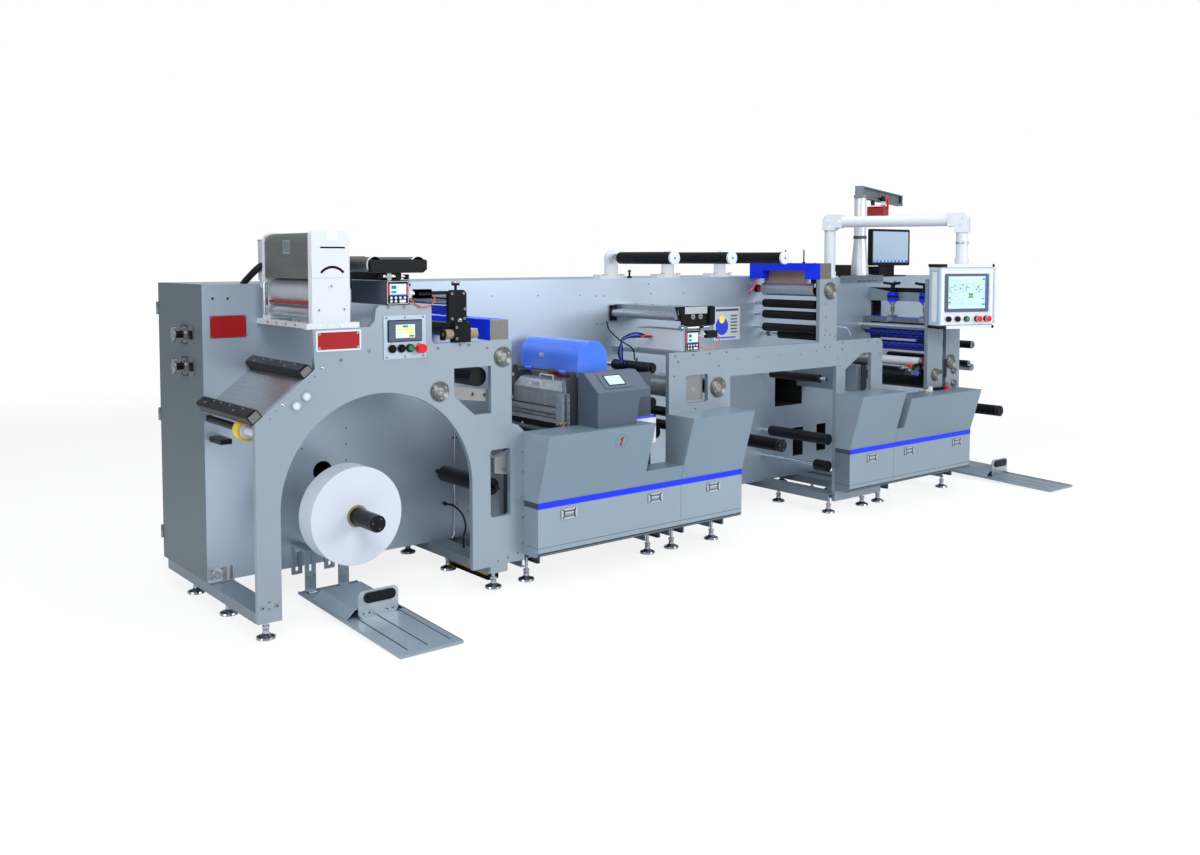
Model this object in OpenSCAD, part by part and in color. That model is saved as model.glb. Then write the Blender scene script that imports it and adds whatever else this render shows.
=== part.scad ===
// Narrow-web flexographic printing press: a long rear cabinet with bearing plates in front,
// and the unwind, printing, drying, die and rewind units between them.
// Lengths run along X from the unwind end, Y is zero on the cabinet's front face, Z is height.

/* [Cabinet] */
// Length of the rear cabinet
cab_l = 5700; // [5200:10:6400]
// Depth of the rear cabinet
cab_d = 575; // [450:5:700]
// Height of the cabinet top above the floor
cab_top = 1433; // [1300:1:1600]
// Step down of the right-hand cabinet section
cab_step = 18; // [0:1:60]
// Place of the first cabinet seam
seam_1 = 2220; // [2150:5:2245]
// Distance of the second cabinet seam from the finishing unit's left edge
seam_2 = 13; // [5:1:60]
// Thickness of the end door
door_t = 20; // [12:1:30]
// Gap between the end door and the cabinet
door_gap = 3; // [2:0.5:6]

// Distance from the finishing unit's left edge to the cabinet's right end
fin_l = 2113; // [2080:1:2200]

/* [Base] */
// Height of the top of the base beams
beam_top = 127; // [110:1:160]
// Height of a base beam's section
beam_h = 44; // [30:1:60]
// Width of a base beam
beam_w = 110; // [80:1:120]
// Distance from the cabinet face to the outer face of the bearing plates
frame_d = 560; // [520:1:640]
// Thickness of the bearing plates
plate_t = 25; // [15:1:30]
// Diameter of a levelling foot
foot_d = 80; // [60:1:100]

/* [Unwind plate] */
// Width of the unwind plate above its leg
plate_a_w = 1231; // [1200:1:1260]
// Height of the top edge of the unwind plate
plate_a_top = 1172; // [1160:1:1200]
// Height of the shoulder that carries the treater
treater_z = 1258; // [1230:1:1280]
// Height of the raised lug behind the control panel
lug_top = 1347; // [1330:1:1380]
// Centre of the arch along X
arch_x = 557; // [555:1:560]
// Radius of the arch
arch_r = 456; // [430:1:460]
// Height of the arch centre
arch_z = 518; // [500:1:525]

/* [Covers] */
// Distance of the lower front panels from the cabinet face
cover_d = 670; // [650:1:720]
// Overhang of the upper covers at their top edge
cover_lean = 95; // [60:1:120]
// Height of the upper covers' top edge
cover_top = 736; // [700:1:760]
// Height of the blue band's top edge
band_z = 410; // [380:1:440]
// Height of the blue band itself
band_h = 28; // [15:1:40]
// Height of the plinth seam
plinth_z = 197; // [180:1:220]
// Height of the plinth's bottom edge
skirt_z = 150; // [140:1:165]
// Left end of the printing unit's covers
cover_b_x = 1290; // [1285:1:1298]
// Seam between the covers of the printing unit and of the drying unit
cover_seam = 2210; // [2200:1:2220]
// Right end of the drying unit's covers
cover_c_end = 2660; // [2640:1:2670]
// Length of the finishing unit's covers
cover_e_l = 1261; // [1225:1:1320]

/* [Reels and rollers] */
// Radius of an expanding reel shaft
reel_r = 37; // [30:1:40]
// Height of the unwind reel
unwind_z = 420; // [400:1:440]
// Place of the unwind reel along X
unwind_x = 520; // [500:1:540]
// Radius of the paper roll
roll_r = 217; // [120:1:260]
// Width of the paper roll
roll_w = 122; // [80:1:250]
// Free length of the reel shafts in front of the cabinet
reel_l = 588; // [500:1:620]
// Height of the rewind reels
rewind_z = 480; // [460:1:520]
// Distance of the first rewind reel to the left of its bay's middle
rewind_shift = 53; // [0:1:90]
// Distance of the second rewind reel from the cabinet's right end
rewind_in = 350; // [320:1:400]
// Height of the top idler rollers above the cabinet
idler_h = 115; // [90:1:150]
// Radius of the top idler rollers
idler_r = 33; // [25:1:38]
// Pitch of the top idler rollers
idler_pitch = 432; // [400:1:450]
// Distance from the last top idler to the drying tower
idler_end = 258; // [230:1:300]

/* [Roll tables] */
// Width of a roll table
table_w = 286; // [270:1:310]
// Length of a roll table
table_l = 933; // [850:1:980]
// Thickness of a roll table
table_t = 10; // [6:1:12]
// Height of a table's top edge at the rear
table_top = 48; // [46:1:60]
// Fall of a table towards its front edge
table_fall = 34; // [0:1:36]

/* [Pendant and hoist] */
// Distance of the pendant post from the finishing unit's left edge
pendant_x = 703; // [665:1:740]
// Height of the pendant arm's axis above the cabinet
pendant_h = 375; // [330:1:450]
// Radius of the pendant tubes
pendant_r = 37; // [25:1:45]
// Sideways reach of the pendant arm
pendant_side = 347; // [320:1:380]
// Gap between the turned pendant housing and the bearing plates
pendant_clear = 25; // [18:1:60]
// Width of the pendant housing
box_w = 403; // [380:1:430]
// Height of the pendant housing
box_h = 413; // [380:1:440]
// Depth of the pendant housing
box_d = 126; // [90:1:140]
// Distance of the hoist column from the finishing unit's left edge
hoist_x = 1065; // [1035:1:1110]
// Height of the hoist column's top above the cabinet
hoist_h = 549; // [520:1:680]
// Length of the jib
jib_l = 1330; // [1250:10:1500]
// Height of the jib's section
jib_h = 82; // [70:1:100]

/* [Hidden] */
$fn = 64;
eps = 0.01;
fit = 0.05;
gap = 5;
beam_bot = beam_top - beam_h;
beam_t = 6;
back_of_plate = -frame_d + plate_t;
cab_right_top = cab_top - cab_step;
post_y = 70;
foot_inset = 60;
plate_c_x = 2225;
plate_c_end = cover_c_end + 20;
bar_top = 1052;
bar_low = 903;
plate_d_x = cab_l - fin_l;
plate_d_w = 448;
tower_x = plate_d_x - 160;
tower_top = 1421;
cover_d_x = plate_d_x - 2;
cover_de_seam = plate_d_x + 428;
cover_e_end = plate_d_x + cover_e_l;
cover_e_top = cover_top - 51;
rewind_1_x = (plate_c_end + plate_d_x) / 2 - rewind_shift;
rewind_2_x = cab_l - rewind_in;
beam_xs = [0, 1110, 1300, 2080, 2250, 2550, plate_d_x - 32, plate_d_x + 293, plate_d_x + 453,
    plate_d_x + 1153];
foot_ys = [-490, -88, 315];
notch_1 = [1950, 2207];
notch_1_z = 487;
notch_2 = [plate_d_x + 418, plate_d_x + 493];
notch_2_z = 500;
post_1 = [925, 1094];
post_2 = [1134, 1291];
post_top = 1410;
journal = 12;
origin_x = foot_inset;
origin_y = foot_ys[0];

// Moves a sub-part from the cabinet's corner to the model's origin, under the first levelling foot
module placed() translate([-origin_x, -origin_y, 0]) children();

// A box between two opposite corners
module block(a, b) translate(a) cube(b - a);

// A flat shape drawn in X and Z, from y0 back to y1
module slab(y0, y1) translate([0, y1, 0]) rotate([90, 0, 0]) linear_extrude(y1 - y0) children();

// A profile drawn in Y and Z, from x0 to x1
module bar_x(x0, x1) translate([x0, 0, 0]) rotate([90, 0, 90]) linear_extrude(x1 - x0) children();

// A round bar along Y
module rod(x, z, r, y0, y1) translate([x, y1, z]) rotate([90, 0, 0]) cylinder(r = r, h = y1 - y0);

// A roller's body along Y, with thinner journals to the bearing plate and the cabinet
module roller(x, z, r, y0 = -488, y1 = -72) {
    rod(x, z, r, y0, y1);
    rod(x, z, min(journal, r * 0.6), back_of_plate, 0);
}

// Moves what stands in the finishing unit from its left edge to its place
module finishing() translate([plate_d_x, 0, 0]) children();

// A flat bearing cap with a raised rim and a sunk middle
module cap(x, z, r) difference() {
    union() {
        rod(x, z, r, -frame_d - 7, -frame_d);
        rod(x, z, r * 0.86, -frame_d - 11, -frame_d - 7);
    }
    rod(x, z, r * 0.42, -frame_d - 12, -frame_d - 8);
}

// A rectangle between two opposite corners
module square_at(a, b) translate(a) square(b - a);

// A rectangle between two corners with round corners
module rounded(a, b, r) {
    translate([a.x + r, a.y]) square([b.x - a.x - 2 * r, b.y - a.y]);
    translate([a.x, a.y + r]) square([b.x - a.x, b.y - a.y - 2 * r]);
    for (x = [a.x + r, b.x - r], y = [a.y + r, b.y - r]) translate([x, y]) circle(r);
}

/* Cabinet */
rear_doors = [[85, 740], [760, 1460], [1480, 2180], [seam_1 + 40, seam_1 + 680],
    [seam_1 + 700, plate_d_x + seam_2 - 40], [plate_d_x + seam_2 + 40, plate_d_x + 700],
    [plate_d_x + 720, plate_d_x + 1380], [plate_d_x + 1400, cab_l - 40]];
module rear_door(n, top) {
    block([rear_doors[n][0], cab_d, beam_top + 40], [rear_doors[n][1], cab_d + 3, top - 40]);
    block([rear_doors[n][1] - 60, cab_d + 3, 760], [rear_doors[n][1] - 38, cab_d + 12, 880]);
}
module cabinet_left() color("gainsboro") placed() {
    difference() {
        block([door_t + door_gap, 0, beam_top], [seam_1, cab_d, cab_top]);
        rod(548, 555, 48, -eps, 120);
    }
    for (n = [0:2]) rear_door(n, cab_top);
    table_bolts(unwind_x);
}

module cabinet_middle() color("gainsboro") placed() {
    block([seam_1, 0, beam_top], [plate_d_x + seam_2, cab_d, cab_top]);
    for (n = [3:4]) rear_door(n, cab_top);
}

louvre = [[1067, 985], [1180, 1262]];
module cabinet_right() color("gainsboro") placed() {
    difference() {
        block([plate_d_x + seam_2, 0, beam_top], [cab_l, cab_d, cab_right_top]);
        finishing() {
            block([84, -eps, 591], [347, 300, 807]);
            block([262, -eps, 252], [362, 200, 437]);
            block([499, -eps, 261], [592, 200, 440]);
            block([louvre[0].x, -eps, louvre[0].y], [louvre[1].x, 60, louvre[1].y]);
        }
    }
    finishing() for (n = [1:9])
        block([louvre[0].x, 6, louvre[0].y + n * 27], [louvre[0].x + 34, 50, louvre[0].y + n * 27 + 5]);
    for (n = [5:7]) rear_door(n, cab_right_top);
    table_bolts(rewind_2_x);
}

hinge_zs = [beam_top + 90, (beam_top + cab_top) / 2, cab_top - 150];
hinge_y = cab_d + 10;
module end_door() color("slategray") placed() {
    block([0, 0, beam_top], [door_t, cab_d, cab_top]);
    for (z = [1066, 1208]) {
        block([-6, 175, z - 40], [0, 255, z + 40]);
        translate([-14, 215, z]) rotate([0, 90, 0]) cylinder(r = 26, h = 14);
        translate([-46, 215, z]) rotate([0, 90, 0]) cylinder(r = 16, h = 40);
        translate([-58, 215, z]) rotate([0, 90, 0]) rotate([0, 0, 90]) linear_extrude(14)
            rounded([-10, -36], [10, 36], 9);
    }
    for (z = hinge_zs) difference() {
        union() {
            translate([0, hinge_y, z + 30.3]) cylinder(r = 8, h = 29.7);
            block([0, cab_d, z + 30.3], [8, hinge_y, z + 60]);
        }
        translate([0, hinge_y, z + 30]) cylinder(r = 4 + fit, h = 31);
    }
}

module door_hinges() color("silver") placed() for (z = hinge_zs) {
    translate([0, hinge_y, z]) cylinder(r = 8, h = 30);
    block([0, cab_d + 2, z], [60, hinge_y, z + 30]);
    block([door_t + door_gap, cab_d, z], [60, cab_d + 2, z + 30]);
    translate([0, hinge_y, z + 30]) cylinder(r = 4, h = 30);
}

/* Base */
module gusset(x) bar_x(x + beam_w / 2 - 4, x + beam_w / 2 + 4)
    polygon([[back_of_plate, beam_top], [back_of_plate + 70, beam_top], [back_of_plate, beam_top + 60]]);
module beam(x, y0) difference() {
    block([x, y0, beam_bot], [x + beam_w, cab_d - 60, beam_top]);
    block([x + beam_t, y0 - 1, beam_bot - 1], [x + beam_w - beam_t, cab_d - 66, beam_top - beam_t]);
}
module base_beams() color("lightsteelblue") placed() {
    for (x = beam_xs) {
        beam(x, back_of_plate);
        for (s = [x, x + beam_w - 18]) block([s, back_of_plate, beam_bot], [s + 18, cab_d - 60, beam_bot + 4]);
    }
    beam(cab_l - beam_w, 20);
    for (x = [beam_xs[0], beam_xs[6], beam_xs[7]]) gusset(x);
}

module foot() {
    rotate_extrude() polygon([[0, 0], [foot_d / 2 - 2, 0], [foot_d / 2, 4], [foot_d / 2 - 2, 11],
        [foot_d * 0.28, 17], [foot_d * 0.17, 24], [foot_d * 0.16, 38], [foot_d * 0.1, 44],
        [foot_d * 0.1, beam_top - beam_t], [0, beam_top - beam_t]]);
    translate([0, 0, 44]) cylinder(r = foot_d * 0.2, h = 10, $fn = 6);
    translate([0, 0, beam_top - beam_t - 10]) cylinder(r = foot_d * 0.2, h = 10, $fn = 6);
}

module levelling_feet() color("dimgray") placed() {
    for (x = beam_xs, y = foot_ys) translate([x + foot_inset, y, 0]) foot();
    for (y = [88, foot_ys[2]]) translate([cab_l - foot_inset, y, 0]) foot();
}

/* Unwind unit */
module unwind_outline() difference() {
    polygon([[0, 85], [0, 894], [257, 1094], [250, treater_z], [505, treater_z], [530, treater_z + 25],
        [537, lug_top - 14], [551, lug_top], [795, lug_top], [807, lug_top - 14], [807, plate_a_top + 12],
        [819, plate_a_top], [plate_a_w, plate_a_top], [plate_a_w, 782], [1266, 769], [1300, 737],
        [1300, 125], [1200, 127], [1200, 90], [1111, 90], [1111, 124], [arch_x + arch_r, 124],
        [arch_x + arch_r, arch_z], [arch_x - arch_r, arch_z], [arch_x - arch_r, 85]]);
    translate([arch_x, arch_z]) circle(arch_r, $fn = 120);
    polygon([[920, 1056], [1117, 1056], [1117, 837], [1031, 835], [920, 930]]);
    rounded([1111, 353], [1222, 667], 15);
}

module unwind_plate() color("gainsboro") placed() slab(-frame_d, back_of_plate) unwind_outline();

treater_x = [259, 428];
treater_top = 1660;
treater_y = [-540, -505, -62, -46];
module arched(a, b, r) {
    square_at(a, [b.x, b.y - r]);
    square_at([a.x + r, b.y - r - 1], [b.x - r, b.y]);
    for (x = [a.x + r, b.x - r]) translate([x, b.y - r]) circle(r);
}
treater_c = [350, 1446];
module arc_slot(c, r, w, half) intersection() {
    difference() {
        translate(c) circle(r + w / 2);
        translate(c) circle(r - w / 2);
    }
    translate(c) polygon([[0, 0], [-2 * r * sin(half), 2 * r * cos(half)], [-r, 3 * r], [r, 3 * r],
        [2 * r * sin(half), 2 * r * cos(half)]]);
}
module treater_housing() color("whitesmoke") placed() {
    difference() {
        slab(treater_y[0], treater_y[1]) arched([treater_x[0], 1281], [treater_x[1], treater_top], 22);
        slab(treater_y[0] - 1, treater_y[0] + 6) square_at([297, 1588], [408, 1595]);
        slab(treater_y[0] - 1, treater_y[0] + 14) arc_slot(treater_c, 65, 11, 51);
        slab(treater_y[0] - 1, treater_y[0] + 2) square_at([treater_x[0] - 1, 1464], [treater_x[1] + 1, 1467]);
    }
    slab(treater_y[1], treater_y[2]) arched([treater_x[0], 1462], [treater_x[1], treater_top - 6], 40);
    slab(treater_y[2], treater_y[3]) arched([treater_x[0] - 6, 1281], [treater_x[1], treater_top], 40);
}

module treater_rollers() color("silver") placed() {
    rod(330, 1405, 55, treater_y[1], treater_y[2]);
    rod(300, 1320, 26, treater_y[1], treater_y[2]);
    rod(282, 1358, 6, treater_y[1], treater_y[2]);
}

module treater_base() color("gainsboro") placed() {
    block([225, -frame_d - 3, treater_z], [458, back_of_plate + 5, 1281]);
    for (x = [treater_x[0] - 14, treater_x[1] - 20])
        block([x, back_of_plate + 5, treater_z], [x + 34, 0, 1281]);
}

slope = atan2(1094 - 894, 257);
module on_slope() translate([0, 0, 894]) rotate([0, -slope, 0]) children();
module clamp(u0, u1, h) slab(-frame_d, 0)
    polygon([[u0, 0], [u0, h - 9], [u0 + 9, h], [u1 - 9, h], [u1, h - 9], [u1, 0]]);
module splice_table() color("silver") placed() on_slope() {
    block([20, back_of_plate, -6], [320, 0, 0]);
    clamp(-12, 42, 46);
    clamp(264, 318, 42);
}

module tape_dispenser() color("goldenrod") placed() {
    difference() {
        rod(24, 850, 46, -430, -380);
        rod(24, 850, 16 + fit, -431, -379);
    }
    rod(24, 850, 16, back_of_plate, 0);
    block([22, -130, 751], [72, 0, 773]);
}

/* Web cleaner and guides of the unwind unit */
cleaner_x = [528, 735];
controller = [[582, lug_top], [694, lug_top + 106]];
module web_cleaner_front() color("dimgray") placed() {
    slab(-600, -575) polygon([[495, 1491], [501, 1485], [744, 1485], [763, 1500], [763, 1536], [757, 1542],
        [501, 1542], [495, 1536]]);
    slab(-575, -565) for (x = cleaner_x) translate([x, 1520]) circle(35);
    for (x = cleaner_x) rod(x, 1520, 33, -565, -12);
    slab(-12, 0) rounded([495, 1405], [776, 1556], 6);
    block([592, -540, controller[1].y], [667, -240, 1490]);
    block([562, -540, 1490], [702, -490, 1500]);
}

module guide_controllers() color("whitesmoke") placed() {
    slab(-565, -243) rounded(controller[0], controller[1], 8);
    slab(-frame_d, -545) rounded([2338, bar_top], [2445, bar_top + 118], 8);
}

module control_panel() color("gainsboro") placed() {
    slab(-frame_d - 4, -frame_d) square_at([570, 1115], [775, 1302]);
    difference() {
        slab(-frame_d - 12, -frame_d - 4) rounded([592, 1192], [752, 1279], 3);
        slab(-frame_d - 13, -frame_d - 10) square_at([623, 1204], [719, 1264]);
    }
    for (x = [609, 653, 694]) {
        rod(x, 1160, 15, -frame_d - 12, -frame_d - 4);
        rod(x, 1160, 11, -frame_d - 20, -frame_d - 12);
    }
    rod(741, 1157, 16, -frame_d - 12, -frame_d - 4);
    rod(741, 1157, 9, -frame_d - 26, -frame_d - 12);
    rod(741, 1157, 20, -frame_d - 40, -frame_d - 26);
}

module bearing_caps() color("silver") placed() {
    intersection() {
        cap(845, 959, 45);
        block([845 - 60, -frame_d - 20, 959 - 36], [845 + 60, -frame_d, 959 + 36]);
    }
    cap(1182, 1094, 46.5);
    cap(plate_c_x + 360, 849, 55);
    cap(tower_x + 93, 1353, 52);
    finishing() {
        cap(1014, 784, 42);
        cap(1075, 800, 14);
        cap(1186, 859, 49);
        cap(1219, 797, 20);
        cap(1222, cover_e_top + 29, 22);
        slab(-frame_d - 14, -frame_d) rounded([1112, cover_e_top + 4], [1148, cover_e_top + 40], 4);
    }
    for (c = [[218, 986], [174, 951]]) rod(c.x, c.y, 17, -frame_d - 8, -frame_d);
}

module nip_block() color("dimgray") placed() {
    slab(-frame_d, back_of_plate) polygon([[897, 1262], [897, 1392], [911, 1406], [974, 1406], [988, 1392],
        [988, 1262]]);
    slab(-575, back_of_plate) rounded([916, plate_a_top], [1000, 1262], 4);
    slab(-25, 0) square_at([897, plate_a_top], [1000, 1406]);
    for (c = [[942, 1361, 25], [950, 1311, 21], [957, 1228, 30]]) roller(c[0], c[1], c[2], -520, -40);
    translate([938, -548, 1406]) cylinder(r = 6, h = 24);
    translate([938, -548, 1426]) cylinder(r = 18, h = 10);
    translate([805, -548, 1392]) rotate([0, 90, 0]) cylinder(r = 5, h = 92);
    block([730, -566, 1372], [805, -530, 1412]);
}

module guide_frame(x, z, top, legs) difference() {
    block([x, legs[0], z], [x + 101, legs[3], top]);
    block([x - 1, legs[1], z - 1], [x + 102, legs[2], top - 45]);
}
module blue_guide_frames() color("royalblue") placed() {
    guide_frame(1117, plate_a_top, plate_a_top + 95, [-555, -450, -110, 0]);
    guide_frame(tower_x, tower_top, tower_top + 96, [-561, -447, -108, 0]);
    block([tower_x + 60, -447, tower_top], [tower_x + 66, -108, tower_top + 51]);
}

module unwind_rollers() color("dimgray") placed() {
    rod(1075, 1005, 45, back_of_plate + 20, 0);
    roller(845, 959, 34);
    roller(1182, 1094, 34);
    roller(1165, 480, 40);
    difference() {
        slab(back_of_plate, back_of_plate + 15) polygon([[900, 978], [1135, 942], [1135, 888], [900, 918]]);
        for (c = [[1031, 930], [1095, 921]]) rod(c[0], c[1], 9, back_of_plate - 1, back_of_plate + 16);
    }
    slab(back_of_plate, back_of_plate + 35) polygon([[1150, 552], [1150, 622], [1260, 650], [1260, 530]]);
}

journal_r = 28;
module hub(x, z) difference() {
    union() {
        rod(x, z, 80, -16, 0);
        rod(x, z, 58, -60, -16);
    }
    rod(x, z, journal_r + fit, -61, 1);
}
module reel(x, z) {
    rod(x, z, reel_r, -reel_l, -75);
    rod(x, z, journal_r, -75, -1);
}

module reel_hubs() color("silver") placed() {
    hub(unwind_x, unwind_z);
    hub(rewind_1_x, rewind_z);
    hub(rewind_2_x, rewind_z);
}
module unwind_reel() color("black") placed() reel(unwind_x, unwind_z);
roll_front = -400;
module paper_roll() color("white") placed() difference() {
    rod(unwind_x, unwind_z, roll_r, roll_front, roll_front + roll_w, $fn = 120);
    rod(unwind_x, unwind_z, reel_r + 0.4, roll_front - 1, roll_front + roll_w + 1);
}

table_back = 125;
table_a = atan2(table_fall, table_l);
table_arms = [49, 211];
arm_top = 240;
bolt_z = 212;
shoe_y = [-458, -140];
module tilted() translate([0, -table_back, table_top]) rotate([table_a, 0, 0]) children();
module roll_table(x) translate([x - 158, 0, 0]) {
    tilted() difference() {
        block([0, -table_l, -table_t], [table_w, 0, 0]);
        for (u = [58, 148, 254]) block([u - 4, -table_l + 48, -table_t - 1], [u + 4, -70, 1]);
    }
    for (u = table_arms) {
        difference() {
            block([u - 25, -155, table_top - table_t], [u + 25, -145, arm_top]);
            slab(-156, -144) rounded([u - 7, 139], [u + 7, 214], 6);
        }
        block([u - 25, -145, arm_top - 12], [u + 25, -10, arm_top]);
        difference() {
            block([u - 25, -10, 95], [u + 25, -0.3, arm_top]);
            slab(-11, 1) rounded([u - 8, 108], [u + 8, 226], 7);
        }
        translate([u - 20, -165, table_top - 4]) rotate([0, 90, 0]) cylinder(r = 10, h = 40);
    }
}
module table_bolts(x) for (u = table_arms) {
    rod(x - 158 + u, bolt_z, 6, -18, 0);
    rod(x - 158 + u, bolt_z, 14, -18, -10.3);
}
module shoe_outline(t) polygon([[4 + t, 0.3], [48 + t / 2, 42 - t], [238 - t / 2, 42 - t], [282 - t, 0.3]]);
module table_slide(x) translate([x - 158, 0, 0]) tilted() {
    difference() {
        slab(shoe_y[0], shoe_y[1]) shoe_outline(0);
        slab(shoe_y[0] - 1, shoe_y[1] + 1) difference() {
            shoe_outline(4);
            square_at([0, 0], [table_w, 0.3]);
        }
    }
    difference() {
        slab(shoe_y[0] - 8, shoe_y[0]) rounded([60, 0.3], [249, 113], 22);
        slab(shoe_y[0] - 9, shoe_y[0] + 1) rounded([91, 66], [228, 100], 16);
    }
    difference() {
        slab(shoe_y[0] - 14, shoe_y[0] + 6) rounded([85, 60], [234, 106], 22);
        slab(shoe_y[0] - 15, shoe_y[0] + 7) rounded([95, 70], [224, 96], 12);
    }
}
module roll_table_1() color("slategray") placed() roll_table(unwind_x);
module roll_table_2() color("slategray") placed() roll_table(rewind_2_x);
module table_slide_1() color("silver") placed() table_slide(unwind_x);
module table_slide_2() color("silver") placed() table_slide(rewind_2_x);

pedal_x = beam_xs[1] + foot_inset + foot_d / 2 + gap;
module pedal_bar() color("gold") placed() {
    slab(-375, -35) polygon([[pedal_x, 0], [pedal_x, 48], [pedal_x + 10, 60], [pedal_x + 46, 60],
        [pedal_x + 56, 48], [pedal_x + 56, 0]]);
    for (y = [-330, -100]) block([pedal_x, y, 60], [pedal_x + 32, y + 20, beam_bot]);
}

/* Printing unit */
hood_x = cover_b_x + 437;
hood_r = 92;
hood_t = 4;
hood_top = 1140;
hood_low = 990;
hood_y = [-545, -60];
pin_x = hood_x - hood_r - 14;
pin_z = hood_low - 5;
side_x = [hood_x - 163, hood_x + 393];
side_top = 960;
cylinder_z = 981;
cylinder_r = 42;
module print_unit() color("slategray") placed() {
    difference() {
        block([side_x[0], back_of_plate, beam_top], [side_x[1], back_of_plate + plate_t, side_top]);
        slab(back_of_plate - 1, back_of_plate + plate_t + 1)
            rounded([hood_x - 27, 780], [hood_x + 253, 900], 10);
    }
    block([side_x[0], -40, beam_top], [side_x[1], 0, side_top]);
    for (y = [[back_of_plate, back_of_plate + plate_t], [-40, -20]]) slab(y[0], y[1]) {
        translate([pin_x, pin_z]) circle(10);
        square_at([pin_x - 10, side_top - 5], [pin_x + 10, pin_z]);
        square_at([hood_x - 22, side_top - 5], [hood_x + 22, cylinder_z + 22]);
    }
    rod(pin_x, pin_z, 5, back_of_plate + plate_t, -40);
    for (x = [side_x[0] - 39, side_x[0] - 7]) block([x, -frame_d, cover_top], [x + 16, -512, 890]);
    block([side_x[0] - 39, back_of_plate, 740], [side_x[0] + 1, -512, 765]);
    block([side_x[0] - 24, -100, 744], [side_x[0] + 11, -40, side_top]);
    block([side_x[0] - 24, -512, 768], [side_x[0], -100, 815]);
    block([side_x[0] - 30, -512, 744], [side_x[0], -100, 765]);
    slab(-645, -640) polygon([[notch_1[0] - 36, cover_top], [notch_1[0] - 36, cover_top + 21],
        [notch_1[0] + 105, cover_top + 21], [notch_1[0] + 105, 616], [notch_1[0], 616],
        [notch_1[0], cover_top]]);
}

module wire_handle(x, z, y0, y1, h) {
    for (y = [y0, y1]) {
        translate([x, y, z]) cylinder(r = 3.5, h = h);
        translate([x, y, z + h]) sphere(3.5);
    }
    rod(x, z + h, 3.5, y0, y1);
}
tray_x = side_x[0];
module ink_tray() color("silver") placed() {
    slab(back_of_plate + plate_t, -100)
        polygon([[tray_x, 818], [tray_x, 898], [tray_x + 43, 938], [tray_x + 76, 944], [tray_x + 76, 818]]);
    wire_handle(tray_x + 14, 905, -312, -226, 26);
    wire_handle(tray_x + 48, 936, -372, -262, 26);
}

module print_rollers() color("dimgray") placed() {
    rod(hood_x, cylinder_z, cylinder_r, -500, -70);
    rod(hood_x, cylinder_z, 8, back_of_plate + plate_t, -40);
    for (c = [[hood_x - 7, 870], [hood_x + 103, 850], [hood_x + 233, 850]])
        rod(c[0], c[1], 54, back_of_plate + plate_t, -40);
    for (c = [[2165, 973, 29], [2165, 791, 30], [2190, 635, 34]]) {
        rod(c[0], c[1], c[2], -496, -194);
        rod(c[0], c[1], 14, -508, 0);
    }
}

module hood_shape(r, low) {
    translate([hood_x, hood_top - hood_r]) circle(r);
    square_at([hood_x - r, low], [hood_x + r, hood_top - hood_r]);
}
module hood_half(r, low) difference() {
    hood_shape(r, low);
    square_at([hood_x - 200, 800], [hood_x + 200, low]);
}
module hood() color("cornflowerblue") placed() {
    difference() {
        slab(hood_y[0], hood_y[1]) hood_half(hood_r, hood_low);
        slab(hood_y[0] + hood_t, hood_y[1] - hood_t) hood_half(hood_r - hood_t, hood_low - 1);
        block([hood_x - 22, hood_y[1] - 2 * hood_t, hood_low - 1],
            [hood_x + 22, hood_y[1] + 1, hood_low + 12]);
    }
    for (y = [-470, -180]) difference() {
        union() {
            rod(pin_x, pin_z, 10, y, y + 50);
            block([pin_x, y, pin_z + 5], [hood_x - hood_r + 1, y + 50, pin_z + 10]);
        }
        rod(pin_x, pin_z, 5 + fit, y - 1, y + 51);
    }
}

console_x = cover_b_x + 328;
module console() color("slategray") placed() {
    slab(-720, -frame_d - 5) polygon([[console_x, cover_top], [console_x + 242, cover_top],
        [console_x + 266, 868], [console_x, 868]]);
    bar_x(console_x, console_x + 331) polygon([[-720, 867], [-720, 905], [-610, 992], [-frame_d - 5, 992],
        [-frame_d - 5, 867]]);
}

/* Covers */
module cover_profile(top) polygon([[-frame_d, band_z], [-cover_d, band_z],
    [-cover_d - cover_lean * (top - band_z) / (cover_top - band_z), top], [-frame_d, top]]);

module cover(x0, x1, top, notch, low) difference() {
    bar_x(x0, x1) cover_profile(top);
    block([notch[0], -frame_d - 400, low], [notch[1], -frame_d + 1, cover_top + 1]);
}
module upper_covers() color("lightslategray") placed() {
    cover(cover_b_x + 10, cover_seam - 1, cover_top, notch_1, notch_1_z);
    bar_x(cover_seam + 1, cover_c_end) cover_profile(cover_top);
    cover(cover_d_x, cover_de_seam - 1, cover_top, [notch_2[0], cover_de_seam], notch_2_z);
    cover(cover_de_seam + 1, cover_e_end, cover_e_top, [cover_de_seam, notch_2[1]], notch_2_z);
}

front_runs = [[cover_b_x + 10, cover_seam - 1], [cover_seam + 1, cover_c_end],
    [cover_d_x, cover_de_seam - 1], [cover_de_seam + 1, cover_e_end]];
module plinth(x0, x1) bar_x(x0, x1) polygon([[-frame_d, skirt_z], [-cover_d + 26, skirt_z],
    [-cover_d + 7, skirt_z + 7], [-cover_d, skirt_z + 24], [-cover_d, plinth_z - 2], [-frame_d, plinth_z - 2]]);
module lower_panels() color("lightsteelblue") placed() for (s = front_runs) {
    block([s[0], -cover_d, plinth_z], [s[1], -frame_d, band_z - band_h]);
    plinth(s[0], s[1]);
}

module blue_bands() color("blue") placed()
    for (s = [[cover_b_x + 10, cover_c_end], [cover_d_x, cover_e_end]])
        block([s[0], -cover_d - 2, band_z - band_h], [s[1], -frame_d, band_z]);

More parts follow.
